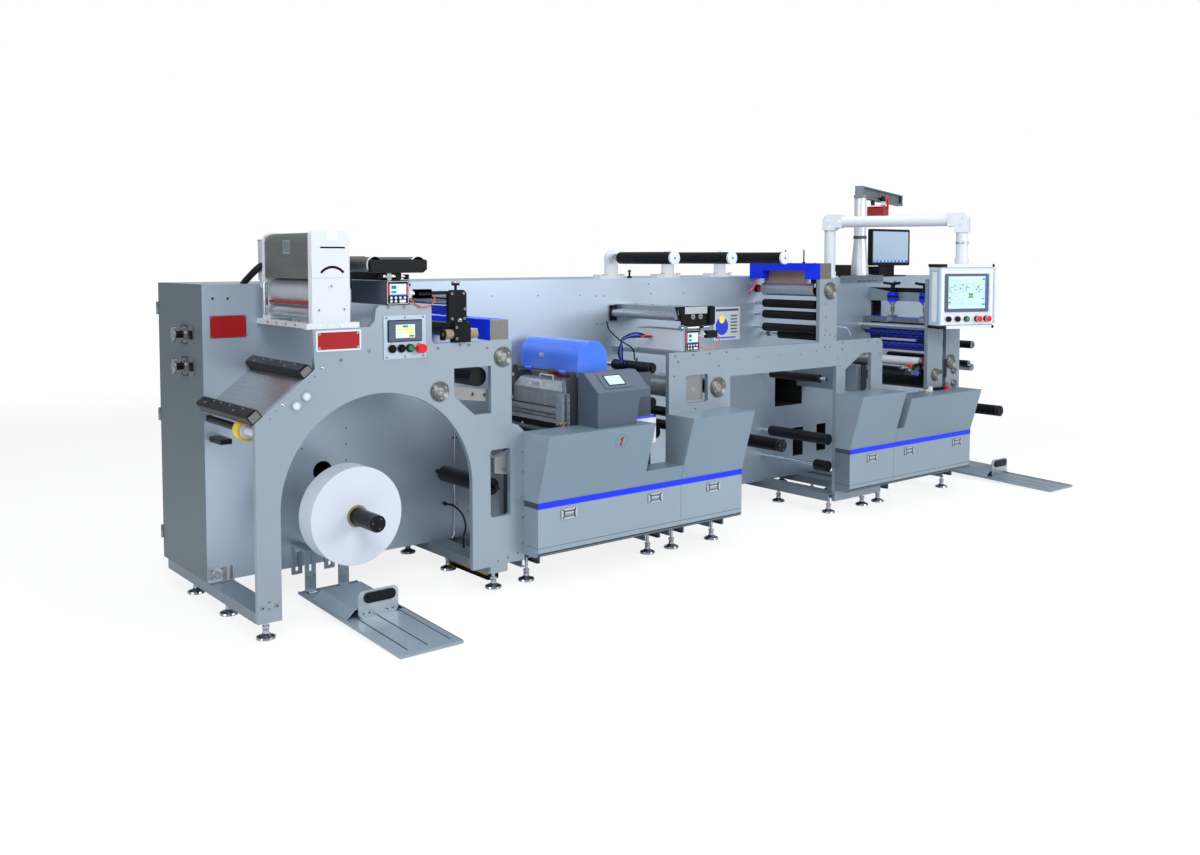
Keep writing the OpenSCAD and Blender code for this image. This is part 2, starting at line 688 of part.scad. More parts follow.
handle_xs = [cover_b_x + 191, cover_seam - 180, cover_c_end - 216, plate_d_x + 210, plate_d_x + 585,
    cover_e_end - 154];
handle_z = 341;
module cover_handles() color("silver") placed()
    for (x = handle_xs) difference() {
        slab(-cover_d - 5, -cover_d) rounded([x - 48, handle_z - 24], [x + 48, handle_z + 24], 4);
        slab(-cover_d - 6, -cover_d - 2) rounded([x - 36, handle_z - 16], [x + 36, handle_z + 16], 4);
    }

/* Drying unit and tower */
module drying_plate() color("gainsboro") placed() {
    slab(-frame_d, back_of_plate) difference() {
        square_at([plate_c_x, beam_top], [plate_c_end, bar_top]);
        rounded([plate_c_x + 122, 779], [plate_c_x + 285, 927], 12);
    }
    block([plate_c_x + 81, back_of_plate, 1030], [plate_c_x + 175, 0, bar_top]);
}

module cross_bar() color("gainsboro") placed()
    block([plate_c_end, -frame_d, bar_low], [plate_d_x, back_of_plate, bar_top]);

module drying_rollers() color("dimgray") placed() {
    roller(plate_c_x + 360, 849, 40);
    roller(plate_c_x + 200, 849, 62);
    for (u = [-60, 0]) roller(plate_c_x + 220 + u, 700 + u, 26);
    rod(plate_d_x - 60, 824, 12, back_of_plate, 0);
    rod(plate_d_x - 34, 459, 33, back_of_plate, -78);
    rod(plate_d_x - 34, 459, journal, -78, 0);
    rod(plate_d_x - 34, 296, 33, back_of_plate, -443);
    rod(plate_d_x - 34, 296, journal, -443, 0);
}

module web_cleaner_middle() color("dimgray") placed() {
    slab(-frame_d, back_of_plate) polygon([[2287, 1219], [2287, 1292], [2548, 1292], [2548, 1188],
        [2360, 1188], [2330, 1219]]);
    slab(-572, -frame_d) {
        rounded([2287, 1226], [2330, 1286], 3);
        rounded([2507, 1196], [2548, 1286], 3);
    }
    rod(2312, 1240, 24, back_of_plate, 0);
    rod(2500, 1240, 36, back_of_plate, 0);
    block([2330, back_of_plate, 1262], [2470, 0, 1290]);
}
module lamp_box() color("silver") placed()
    slab(-545, -171) rounded([2340, bar_top], [2443, bar_top + 115], 6);

module tower_plate() color("gainsboro") placed()
    block([tower_x, -frame_d, bar_top], [plate_d_x - 2, back_of_plate, tower_top]);

module tower_rollers() color("dimgray") placed() {
    roller(tower_x + 63, 1357, 40);
    for (z = [1120, 1200, 1268]) roller(tower_x + 63, z, 26);
    roller(tower_x + 118, 1075, 26, -488, -150);
}

/* Top idlers */
idler_z = cab_top + idler_h;
idler_xs = [for (i = [2:-1:0]) tower_x - idler_end - i * idler_pitch];
module idler_brackets() color("gainsboro") placed() for (x = idler_xs) {
    block([x - 90, 0, cab_top], [x + 90, 60, cab_top + 22]);
    slab(0, 14) {
        translate([x, idler_z]) circle(45);
        square_at([x - 45, cab_top + 22], [x + 45, idler_z]);
    }
    rod(x, idler_z, 24, -70, 0);
    rod(x, idler_z, 15, -505, -70);
    rod(x, idler_z, idler_r + 3, -517, -505);
}
module idler(x) color("black") placed() difference() {
    rod(x, idler_z, idler_r, -500, -75);
    rod(x, idler_z, 15 + fit, -501, -74);
}
module idler_1() idler(idler_xs[0]);
module idler_2() idler(idler_xs[1]);
module idler_3() idler(idler_xs[2]);

module rewind_reel_1() color("black") placed() reel(rewind_1_x, rewind_z);
module rewind_reel_2() color("black") placed() reel(rewind_2_x, rewind_z);

/* Finishing unit */
module finishing_plates() color("gainsboro") placed() finishing() slab(-frame_d, back_of_plate) {
    difference() {
        union() {
            square_at([0, beam_bot], [plate_d_w, bar_top - 40]);
            square_at([0, bar_top - 41], [plate_d_w - 40, bar_top]);
            translate([plate_d_w - 40, bar_top - 40]) circle(40);
        }
        polygon([[85, 727], [85, 876], [249, 967], [335, 967], [335, 727]]);
    }
    for (x = [post_1, post_2]) square_at([x[0], beam_top], [x[1], post_top]);
}

screw_x = 1013;
screw_ys = [-474, -220];
module star_knob(r) {
    cylinder(r = r * 0.45, h = 16);
    for (a = [0:120:240]) rotate([0, 0, a + 30]) {
        translate([0, -6, 3]) cube([r - 7, 12, 10]);
        translate([r - 7, 0, 3]) cylinder(r = 7, h = 10);
    }
}
module pressure_screw(y) translate([screw_x, y, 0]) {
    translate([0, 0, 1146]) cylinder(r = 8, h = 112);
    translate([0, 0, 1186]) cylinder(r = 14, h = 32);
    translate([0, 0, 1256]) cylinder(r = 36, h = 61);
    translate([0, 0, 1317]) cylinder(r = 14, h = 48);
    translate([0, 0, 1364]) star_knob(48);
    translate([-24, -24, 1134]) cube([48, 48, 28]);
}
module finishing_rollers() color("dimgray") placed() finishing() {
    for (y = screw_ys) pressure_screw(y);
    block([screw_x + 27, back_of_plate, 1256], [screw_x + 100, 0, 1346]);
    block([screw_x - 30, back_of_plate, 1117], [screw_x + 40, 0, 1146]);
    rod(screw_x - 42, 1089, 18, back_of_plate, 0);
    roller(screw_x, 1045, 38, -500, -60);
    roller(screw_x, 961, 31, -500, -60);
    roller(screw_x - 40, 861, 30, -487, -60);
    roller(screw_x, 750, 66, -500, -60);
    roller(post_2[0] + 60, 1089, 34);
    roller(post_2[0] + 52, 859, 40);
    rod(plate_d_w - 60, 905, 26, back_of_plate, 0);
    block([293, -480, 715], [340, 0, 885]);
    block([343, -470, 715], [400, 0, 880]);
    for (c = [[1630, 942, 27, -440], [1613, 812, 20, -430], [1681, 778, 25, -410]])
        rod(c[0], c[1], c[2], c[3], 0);
}

/* Pendant */
box_a = 22;
box_top = cab_right_top + 94;
pendant_z = cab_right_top + pendant_h;
swivel = 15;
reach_y = post_y + frame_d + pendant_clear + box_w / 2 * sin(box_a) + box_d / 2 * cos(box_a);
pendant_l = norm([pendant_side, reach_y]);
drop_a = atan2(-reach_y, pendant_side);
module at_post() translate([plate_d_x + pendant_x, post_y, 0]) children();
module pendant_post() color("white") placed() at_post() {
    translate([0, 0, cab_right_top]) cylinder(r = pendant_r + 23, h = 10);
    translate([0, 0, cab_right_top + 10]) cylinder(r = pendant_r + 5, h = 30);
    translate([0, 0, cab_right_top + 10]) cylinder(r = pendant_r, h = pendant_z - 60 - cab_right_top - 10);
    translate([0, 0, pendant_z - 60]) cylinder(r = swivel, h = 40);
}
module pendant_arm() color("white") placed() at_post() rotate([0, 0, drop_a]) {
    difference() {
        translate([0, 0, pendant_z - 59.7]) cylinder(r = pendant_r + 6, h = 59.7 + pendant_r);
        translate([0, 0, pendant_z - 60]) cylinder(r = swivel + fit, h = 41);
    }
    translate([pendant_r, 0, pendant_z]) rotate([0, 90, 0]) cylinder(r = pendant_r, h = pendant_l - pendant_r);
    for (t = [pendant_r + 12, pendant_l - pendant_r - 46])
        translate([t, 0, pendant_z]) rotate([0, 90, 0]) cylinder(r = pendant_r + 5, h = 34);
    translate([pendant_l, 0, pendant_z - 140]) cylinder(r = pendant_r, h = 140);
    translate([pendant_l, 0, pendant_z - 30]) cylinder(r = pendant_r + 6, h = 30 + pendant_r);
    translate([pendant_l, 0, pendant_z - 180]) cylinder(r = swivel, h = 40);
}
module pendant_box() color("whitesmoke") placed() at_post() rotate([0, 0, drop_a])
    translate([pendant_l, 0, 0]) rotate([0, 0, -box_a - drop_a]) {
        difference() {
            union() {
                translate([0, 0, box_top]) cylinder(r = pendant_r, h = pendant_z - 140.3 - box_top);
                translate([0, 0, box_top]) cylinder(r = pendant_r + 6, h = 36);
            }
            translate([0, 0, pendant_z - 181]) cylinder(r = swivel + fit, h = 41);
        }
        difference() {
            translate([0, 0, box_top - box_h]) linear_extrude(box_h)
                rounded([-box_w / 2, -box_d / 2], [box_w / 2, box_d / 2], 12);
            block([-185, -box_d / 2 - 1, box_top - 309], [170, -box_d / 2 + 3, box_top - 41]);
            block([-box_w / 2 - 1, -32, box_top - 376], [-box_w / 2 + 3, 24, box_top - 44]);
        }
        for (u = [-138, -71, -4]) button(u, 15, 16);
        for (u = [75, 143]) {
            button(u, 10, 24);
            translate([0, -20, 0]) button(u, 19, 18);
        }
        for (z = [box_top - 366, box_top - 44])
            translate([box_w / 2 - 2, 0, z]) rotate([0, 90, 0]) cylinder(r = 7, h = 56);
        translate([box_w / 2 + 50, 0, box_top - 381]) cylinder(r = 9, h = 352);
    }
module button(u, r, h) translate([u, -box_d / 2, box_top - 350]) rotate([90, 0, 0]) cylinder(r = r, h = h);

/* Hoist */
jib_a = 24.5;
hoist_y = 100;
hoist_z = cab_right_top + hoist_h;
jib_z = hoist_z + 2;
column_top = cab_right_top + 275;
module at_hoist() translate([plate_d_x + hoist_x, hoist_y, 0]) children();
module hoist_column() color("silver") placed() {
    at_hoist() {
        block([-105, -108, cab_right_top], [127, 115, cab_right_top + 12]);
        block([-336, -108, cab_right_top - 35], [127, -100, cab_right_top + 12]);
        translate([0, 0, cab_right_top + 12]) cylinder(r1 = 64, r2 = 40, h = column_top - cab_right_top - 12);
        translate([0, 0, column_top - 9]) cylinder(r = 46, h = 21);
        translate([0, 0, column_top]) cylinder(r = 41, h = hoist_z - column_top);
        translate([0, 0, hoist_z]) cylinder(r = swivel, h = 40);
    }
}
module jib() color("slategray") placed() at_hoist() rotate([0, 0, jib_a]) difference() {
    union() {
        translate([0, 0, jib_z]) cylinder(r = 45, h = 20);
        block([-40, -26, jib_z], [jib_l, 26, jib_z + 8]);
        block([-40, -3, jib_z + 8], [jib_l, 3, jib_z + jib_h - 8]);
        block([-40, -26, jib_z + jib_h - 8], [jib_l, 26, jib_z + jib_h]);
        translate([0, 0, jib_z]) cylinder(r = 26, h = jib_h - 8);
        for (t = [-46, jib_l]) block([t, -28, jib_z - 2], [t + 6, 28, jib_z + jib_h]);
    }
    translate([0, 0, jib_z - 1]) cylinder(r = swivel + fit, h = 40);
}
trolley_t = 560;
module hoist_trolley() color("firebrick") placed() at_hoist() rotate([0, 0, jib_a])
    translate([trolley_t, 0, 0]) {
        for (s = [-1, 1]) {
            block([-50, s * 38 - 4, jib_z - 30], [50, s * 38 + 4, jib_z + 40]);
            block([-20, s > 0 ? 8 : -34, jib_z + 8.3], [20, s > 0 ? 34 : -8, jib_z + 26]);
            translate([0, s * 42 + (s > 0 ? 0 : -6), jib_z + 6]) rotate([-90, 0, 0]) cylinder(r = 30, h = 6);
        }
        block([-50, -42, jib_z - 38], [50, 42, jib_z - 30]);
        slab(-60, 60) rounded([-90, jib_z - 123], [90, jib_z - 38], 16);
    }

/* Operator's screen and computer */
screen = [[1171, 1493], [1619, 1753]];
module monitor() color("dimgray") placed() finishing() {
    difference() {
        slab(80, 112) rounded(screen[0], screen[1], 8);
        slab(79, 83) square_at(screen[0] + [16, 22], screen[1] - [16, 16]);
    }
    slab(112, 126) rounded(screen[0] + [120, 60], screen[1] - [120, 60], 10);
    block([screen[0].x + 150, 112, cab_right_top], [screen[0].x + 310, 134, 1650]);
    translate([0, 0, cab_right_top]) linear_extrude(8)
        rounded([screen[0].x + 116, 62], [screen[0].x + 400, 258], 30);
}
module computer_boxes() color("black") placed() finishing() {
    block([1195, 30, cab_right_top], [1283, 330, 1505 - 17]);
    block([767, 60, cab_right_top], [920, 330, 1500]);
}

cabinet_left();
cabinet_middle();
cabinet_right();
end_door();
door_hinges();
base_beams();
levelling_feet();
unwind_plate();
treater_housing();
treater_rollers();
treater_base();
splice_table();
tape_dispenser();
web_cleaner_front();
guide_controllers();
control_panel();
bearing_caps();
nip_block();
blue_guide_frames();
unwind_rollers();
reel_hubs();
unwind_reel();
paper_roll();
roll_table_1();
table_slide_1();
roll_table_2();
table_slide_2();
pedal_bar();
print_unit();
ink_tray();
print_rollers();
hood();
console();
upper_covers();
lower_panels();
blue_bands();
cover_handles();
drying_plate();
cross_bar();
drying_rollers();
web_cleaner_middle();
lamp_box();
tower_plate();
tower_rollers();
idler_brackets();
idler_1();
idler_2();
idler_3();
rewind_reel_1();
rewind_reel_2();
finishing_plates();
finishing_rollers();
pendant_post();
pendant_arm();
pendant_box();
hoist_column();
jib();
hoist_trolley();
monitor();
computer_boxes();
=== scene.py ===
import math

import bmesh
import bpy
from mathutils import Matrix, Vector


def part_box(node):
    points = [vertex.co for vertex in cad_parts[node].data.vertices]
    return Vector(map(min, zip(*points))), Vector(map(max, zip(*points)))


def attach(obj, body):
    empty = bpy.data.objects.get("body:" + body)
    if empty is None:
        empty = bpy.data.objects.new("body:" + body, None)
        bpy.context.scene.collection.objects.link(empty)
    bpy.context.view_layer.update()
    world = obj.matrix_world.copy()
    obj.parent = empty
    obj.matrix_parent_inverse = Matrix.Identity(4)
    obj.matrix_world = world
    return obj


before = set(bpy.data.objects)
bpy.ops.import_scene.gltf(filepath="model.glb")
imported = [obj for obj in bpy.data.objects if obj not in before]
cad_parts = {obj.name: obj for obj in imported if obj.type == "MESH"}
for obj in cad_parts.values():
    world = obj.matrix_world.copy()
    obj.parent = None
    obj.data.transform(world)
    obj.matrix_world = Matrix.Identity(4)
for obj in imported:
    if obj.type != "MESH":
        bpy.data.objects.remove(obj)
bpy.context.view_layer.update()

# Machine millimetres: X from the end door, Y from the cabinet's front face, Z from the floor
OX, OY = 60.0, -490.0


def P(x, y, z):
    """Point of the frame, in metres, from machine millimetres."""
    return Vector(((x - OX) / 1000, (y - OY) / 1000, z / 1000))


def machine(p):
    """Machine millimetres from a point of the frame."""
    return Vector((p[0] * 1000 + OX, p[1] * 1000 + OY, p[2] * 1000))


def low(node):
    """Lowest corner of a node in machine millimetres."""
    return machine(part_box(node)[0])


def high(node):
    """Highest corner of a node in machine millimetres."""
    return machine(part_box(node)[1])


# Front of the upright plates, left face of the finishing plates, tops of the walls, front of the covers
# and back of the rear doors
F = round(low("unwind_plate").y)
D = round(low("finishing_plates").x)
WALL_TOP = round(high("cabinet_left").z)
RIGHT_TOP = round(high("cabinet_right").z)
COVER = round(low("lower_panels").y)
REAR = 577.5

# Reel shafts, by the bodies that they turn with: X and Z
REELS = {"unwind": (520, 420), "rewind_a": (3080.5, 480), "rewind_b": (5350, 480)}
SHAFT_R, SHAFT_FRONT = 37, -588

# Rollers and bars that get their own finish: X and Z, or X alone for a row at one height
SLEEVE_X, SLEEVE_Z = 1727, 981
FRONT_CLEANER = (528, 735)
CLEANER_2_X, CLEANER_2_Z = 2312, 1240
IDLERS, IDLER_Z = (2305, 2737, 3169), 1548
TOWER_X, TOWER_Z = D - 97, 1357
BAR_X, BAR_Z = D - 60, 824
DIE_X = D + 1013

# Camera
EYE = (-1705, -4802, 1550)
YAW, PITCH = 39.25, 3.26
FOCAL, IMG_W = 1113, 1200
SENSOR = 36
HORIZON_SHIFT = 106.5
cam_data = bpy.data.cameras.new("camera")
cam_data.sensor_width = SENSOR
cam_data.lens = FOCAL / IMG_W * SENSOR
cam_data.shift_y = -HORIZON_SHIFT / IMG_W
cam_data.clip_end = 200
cam = bpy.data.objects.new("camera", cam_data)
bpy.context.scene.collection.objects.link(cam)
cam.location = P(*EYE)
cam.rotation_euler = (math.radians(90 - PITCH), 0, math.radians(-YAW))
bpy.context.scene.camera = cam
bpy.context.scene.view_settings.view_transform = "Standard"


# Materials
def srgb(r, g, b):
    """Linear colour of a screen colour."""
    def lin(v):
        v /= 255
        return v / 12.92 if v <= 0.04045 else ((v + 0.055) / 1.055) ** 2.4
    return (lin(r), lin(g), lin(b), 1.0)


def scaled(colour, k):
    """Colour made darker or brighter."""
    return tuple(min(1.0, max(0.0, v * k)) for v in colour[:3]) + (1,)


class Graph:
    """Shader nodes of one material or world; an input is a constant or another node's output."""

    def __init__(self, owner):
        owner.use_nodes = True
        self.tree = owner.node_tree
        self.tree.nodes.clear()

    def set(self, node, *ordered, **named):
        for key, value in [*enumerate(ordered), *((k.replace("_", " "), v) for k, v in named.items())]:
            if isinstance(value, bpy.types.NodeSocket):
                self.tree.links.new(value, node.inputs[key])
            else:
                node.inputs[key].default_value = value
        return node

    def add(self, kind, *ordered, **named):
        return self.set(self.tree.nodes.new("ShaderNode" + kind), *ordered, **named)

    def coords(self):
        return self.add("TexCoord").outputs["Object"]

    def ramp(self, value, stops, flat=False):
        """Colour ramp of (place, colour) stops; flat bands leave the ramp's own white end behind them."""
        node = self.add("ValToRGB", value)
        band = node.color_ramp
        if flat:
            band.interpolation = "CONSTANT"
        for k, (place, colour) in enumerate(stops):
            if k == 0:
                e = band.elements[0]
            elif k == len(stops) - 1 and not flat:
                e = band.elements[-1]
            else:
                e = band.elements.new(place)
            e.position = place
            e.color = colour
        return node.outputs[0]


def new_material(name):
    m = bpy.data.materials.new(name)
    g = Graph(m)
    finish = g.add("BsdfPrincipled")
    g.add("OutputMaterial", finish.outputs[0])
    return m, g, finish


def material(name, rgb, rough=0.4, metal=0.0, spread=0.04, scale=3.0, grain=0.0, grain_scale=400.0,
             brushed=(1, 1, 1), coat=0.0, bump=0.0, alpha=1.0, spec=0.5, emission=0.0):
    """Principled material with slow colour drift, uneven roughness and a fine grain."""
    m, g, finish = new_material(name)
    colour = srgb(*rgb)
    place = g.add("Mapping", g.coords(), Scale=brushed).outputs[0]
    slow = g.add("TexNoise", Vector=place, Scale=scale, Detail=3)
    drift = ((0.25, scaled(colour, 1 - spread * 2)), (0.75, scaled(colour, 1 + spread * 2)))
    fine = g.add("TexNoise", Vector=place, Scale=grain_scale, Detail=2)
    span = g.add("MapRange", fine.outputs[0], To_Min=max(0.02, rough - 0.06 - grain),
                 To_Max=min(1.0, rough + 0.06 + grain))
    g.set(finish, Base_Color=g.ramp(slow.outputs[0], drift), Roughness=span.outputs[0], Metallic=metal,
          Coat_Weight=coat, Specular_IOR_Level=spec, Alpha=alpha)
    if bump:
        relief = g.add("Bump", Strength=bump, Distance=0.0006, Height=fine.outputs[0])
        g.set(finish, Normal=relief.outputs[0])
    if emission:
        g.set(finish, Emission_Color=colour, Emission_Strength=emission)
    return m


def bands(name, stops):
    """Flat colour bands along Y; a stop is a machine coordinate and a colour."""
    m, g, finish = new_material(name)
    place = [P(0, y, 0).y for y, _ in stops]
    start, end = place[0], place[-1] + 0.001
    span = g.add("MapRange", g.add("SeparateXYZ", g.coords()).outputs[1], From_Min=start, From_Max=end)
    tones = [((v - start) / (end - start), srgb(*rgb)) for v, (_, rgb) in zip(place, stops)]
    g.set(finish, Base_Color=g.ramp(span.outputs[0], tones, flat=True), Roughness=0.35)
    return m


def painted_reflection_sectors(name):
    """Turned steel with painted reflection: soft light and dark wedges round the Y axis through the object's
    origin stand in for the light caught by a turned face.
    """
    m, g, finish = new_material(name)
    turned = g.add("Mapping", g.coords(), Rotation=(math.radians(90), 0, 0))
    sweep = g.add("TexGradient", turned.outputs[0])
    sweep.gradient_type = "RADIAL"
    # Painted reflection: two bright wedges with darker ones between them
    tones = ((0, 104), (0.1, 168), (0.17, 100), (0.33, 84), (0.42, 112), (0.5, 96), (0.6, 178), (0.68, 104),
             (0.84, 80), (1, 104))
    ramp = g.ramp(sweep.outputs[0], [(at, srgb(tone, tone, tone - 2)) for at, tone in tones])
    g.set(finish, Base_Color=ramp, Roughness=0.32, Metallic=0.35)
    return m


def dashes(name, ground, mark):
    """An engraved cylinder along Y: rows of short marks on a dark ground."""
    m, g, finish = new_material(name)
    split = g.add("SeparateXYZ", g.coords())
    join = g.add("CombineXYZ", split.outputs[1], split.outputs[2])
    brick = g.add("TexBrick", Vector=join.outputs[0], Color1=mark, Color2=scaled(mark, 0.7), Mortar=ground,
                  Scale=1.0, Brick_Width=0.055, Row_Height=0.017, Mortar_Size=0.005, Mortar_Smooth=0.1)
    g.set(finish, Base_Color=brick.outputs["Color"], Roughness=0.34, Specular_IOR_Level=0.35)
    return m


def paper(name, rgb):
    """Wound paper: faint rings round the unwind shaft."""
    m, g, finish = new_material(name)
    colour = srgb(*rgb)
    middle = (low("paper_roll") + high("paper_roll")) / 2
    place = g.add("Mapping", g.coords(), Location=-P(*middle))
    wave = g.add("TexWave", Vector=place.outputs[0], Scale=90, Distortion=1.5)
    wave.wave_type = "RINGS"
    wave.rings_direction = "Y"
    relief = g.add("Bump", Strength=0.15, Distance=0.0004, Height=wave.outputs["Color"])
    ramp = g.ramp(wave.outputs["Color"], ((0, scaled(colour, 0.93)), (1, colour)))
    g.set(finish, Base_Color=ramp, Normal=relief.outputs[0], Roughness=0.7)
    return m


SATIN = dict(spread=0.03, scale=1.3, grain=0.03, grain_scale=300, bump=0.08)
M = {
    "wall": material("wall_grey", (170, 185, 201), 0.36, 0.55, **SATIN),
    "plate": material("plate_grey", (143, 156, 168), 0.36, 0.5, **SATIN),
    # Darker plate grey: seams and trim lines, and painted shade on the lower panels' left faces and under the
    # handles
    "plate_dark": material("plate_dark_joints_and_shade", (112, 124, 137), 0.4, 0.4, **SATIN),
    # End door grey is darkened: painted shade of the door's side that faces away from the lamps
    "door": material("door_grey_painted_shade", (92, 106, 114), 0.42, 0.3, **SATIN),
    "cover": material("cover_grey", (116, 136, 151), 0.36, 0.35, **SATIN),
    # Lighter copy of the cover grey: painted light for the covers' left faces
    "cover_side_painted_light": material("cover_side_painted_light", (152, 168, 182), 0.34, 0.45, **SATIN),
    "panel": material("panel_grey", (137, 153, 167), 0.36, 0.35, **SATIN),
    "beam": material("beam_grey", (116, 130, 142), 0.4, 0.35, **SATIN),
    "console": material("console_grey", (74, 87, 105), 0.45, 0.1, spec=0.3, **SATIN),
    "dark": material("dark_grey", (62, 70, 80), 0.45, 0.2, 0.05, 4, 0.05, 300, bump=0.15),
    "blue": material("blue_paint", (14, 46, 226), 0.34, 0.0, 0.03, 2, 0.02, 300, spec=0.25),
    "red": material("red_paint", (150, 14, 20), 0.4, 0.0, 0.04, 6, spec=0.3),
    "cap_red": material("red_button", (204, 18, 22), 0.35, 0.0, 0.03, 8, spec=0.3),
    "green": material("green_button", (20, 120, 62), 0.3, 0.0, 0.03, 8, coat=0.4),
    "copper": material("copper", (196, 104, 58), 0.25, 0.9, 0.05, 20),
    "white": material("white_paint", (200, 206, 214), 0.4, 0.0, 0.02, 3, 0.02, 400, spec=0.35),
    "steel": material("stainless", (146, 148, 150), 0.32, 0.9, 0.08, 6, 0.08, 60, (40, 1, 40), bump=0.05),
    "steel_dark": material("dark_stainless", (116, 118, 116), 0.34, 0.75, 0.08, 6, 0.08, 60, (40, 1, 40)),
    "chrome": material("chrome", (205, 209, 215), 0.14, 1.0, 0.02, 4, 0.03, 200),
    "satin": material("satin_chrome", (172, 178, 185), 0.24, 0.7, 0.03, 5, 0.04, 200),
    "alu": material("aluminium", (184, 190, 198), 0.3, 0.85, 0.03, 5, 0.06, 80, (1, 30, 30)),
    "silver": material("silver_pipe", (206, 213, 220), 0.3, 0.35, 0.03, 3, 0.03, 200),
    "galv": material("galvanised", (152, 158, 162), 0.36, 0.45, 0.1, 26, 0.1, 60),
    "grey_cap": material("turned_steel", (106, 108, 107), 0.3, 0.6, 0.08, 5, 0.06, 200),
    # Bearing cap faces: painted reflection of turned steel
    "turned": painted_reflection_sectors("turned_face_painted_reflection"),
    "black": material("black_anodised", (15, 18, 21), 0.3, 0.0, 0.1, 8, 0.05, 300, spec=0.13),
    "rubber": material("black_rubber", (14, 17, 20), 0.36, 0.0, 0.15, 10, 0.05, 500, bump=0.1, spec=0.2),
    "plastic": material("black_plastic", (18, 19, 22), 0.42, 0.0, 0.1, 12, 0.04, 500, bump=0.1, spec=0.16),
    # Dark bezel grey; also painted shade on the guide controller's left face and on the handles' top strips
    "bezel": material("dark_bezel_and_shade", (74, 84, 100), 0.4, 0.1, 0.05, 6, 0.03, 300, spec=0.3),
    "roller": material("grey_roller", (166, 172, 178), 0.36, 0.2, 0.04, 6, 0.04, 200),
    "jib": material("jib_paint", (108, 116, 124), 0.4, 0.2, 0.05, 5, spec=0.35),
    "hood": material("blue_hood", (78, 134, 255), 0.14, 0.0, 0.03, 2, 0.02, 100, spec=0.6, alpha=0.6),
    # Pale blue for the hood's rims: the rims are real, their pale colour is painted highlight of the clear
    # hood's edges
    "hood_rim_highlight": material("hood_rim_highlight", (150, 186, 252), 0.2, 0.0, 0.03, 4, spec=0.5),
    "tape": material("yellow_tape", (214, 184, 40), 0.22, 0.0, 0.06, 20, 0.05, 300, spec=0.5),
    "yellow": material("yellow_paint", (236, 202, 16), 0.4, 0.0, 0.05, 6, 0.02, 300),
    "orange": material("orange_cable", (206, 78, 36), 0.45, 0.0, 0.06, 30),
    "kraft": material("kraft_core", (140, 122, 100), 0.8, 0.0, 0.08, 60, 0.04, 300, bump=0.1),
    "brown": material("brown_web", (150, 128, 116), 0.6, 0.0, 0.04, 8),
    "paper": paper("wound_paper", (206, 214, 228)),
    # Near-black for openings, holes, slots and sockets: painted shade where there is only shade inside
    "painted_shade_void": material("painted_shade_opening", (10, 12, 14), 0.8, 0.0, 0.2, 8),
    # Glass and screen colours glow faintly; on the pendant's face plate and side, the treater label and the
    # hood latch this glow is painted light
    "glass": material("screen_glass", (152, 172, 190), 0.25, 0.0, 0.02, 4, spec=0.3, emission=0.15),
    "screen": material("screen_white", (206, 216, 222), 0.3, 0.0, 0.02, 4, spec=0.3, emission=0.12),
    "lcd": material("console_screen", (168, 194, 224), 0.3, 0.0, 0.02, 4, spec=0.2, emission=0.06),
    "ui_back": material("screen_back", (172, 202, 208), 0.3, 0.0, 0.02, 4, spec=0.25, emission=0.06),
    "die": dashes("die_blue", srgb(14, 16, 30), srgb(24, 50, 225)),
    "sleeve": bands("printing_sleeve", [
        (-510, (230, 232, 235)), (-406, (206, 84, 44)), (-330, (196, 34, 36)), (-268, (226, 150, 60)),
        (-221, (232, 234, 238)), (-60, (232, 234, 238))]),
}
# Screen colours glow faintly; where they also mark cables, trim, knobs, grille bars and the notice board the
# glow is painted light
for tone, rgb, glow in (("yellow", (240, 226, 92), 0.2), ("green", (34, 132, 60), 0.1),
                        ("blue", (40, 66, 196), 0.2), ("pale", (176, 214, 240), 0.2),
                        ("dark", (70, 84, 100), 0.05)):
    M["ui_" + tone] = material("screen_" + tone, rgb, 0.4, 0.0, 0.02, 4, emission=glow)


# Finish of the frame's own nodes
def slot_of(data, look):
    """Material slot of a look, added where the mesh doesn't have it."""
    names = [m.name for m in data.materials]
    if M[look].name not in names:
        data.materials.append(M[look])
        names.append(M[look].name)
    return names.index(M[look].name)


def paint(node, base, *rules):
    """Base finish of a node, then other finishes for the faces that a rule picks by place and normal."""
    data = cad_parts[node].data
    data.materials.clear()
    data.materials.append(M[base])
    slots = [(slot_of(data, look), test) for look, test in rules]
    for f in data.polygons:
        f.material_index = 0
        c = machine(f.center)
        for slot, test in slots:
            if test(c, f.normal):
                f.material_index = slot


def near(a, b, tol):
    """Whether two measures agree."""
    return abs(a - b) < tol


def round_y(x, z, r, slack=2.5):
    """Test for the wall of a round bar along Y."""
    return lambda c, n: abs(n.y) < 0.3 and math.hypot(c.x - x, c.z - z) < r + slack


for node, look in {
        "door_hinges": "steel", "treater_base": "silver", "reel_hubs": "steel", "unwind_reel": "black",
        "paper_roll": "paper", "roll_table_1": "panel", "roll_table_2": "panel", "lamp_box": "white",
        "tower_plate": "plate", "drying_plate": "plate", "cross_bar": "plate", "unwind_plate": "plate",
        "idler_1": "rubber", "idler_2": "rubber", "idler_3": "rubber",
        "rewind_reel_1": "black", "rewind_reel_2": "black", "cabinet_middle": "wall", "hood": "hood",
        "finishing_plates": "plate", "base_beams": "beam"}.items():
    paint(node, look)
# Dark faces inside the cabinet openings and the louvre recess: painted shade
paint("cabinet_left", "wall", ("painted_shade_void", lambda c, n: 1 < c.y < 130 and near(c.x, 548, 50) and c.z < 610))
paint("cabinet_right", "wall",
      ("painted_shade_void", lambda c, n: 4 < c.y < 310 and D + 80 < c.x < D + 600 and c.z < 810),
      ("dark", lambda c, n: 2 < c.y < 70 and D + 1060 < c.x < D + 1190 and 980 < c.z < 1270))
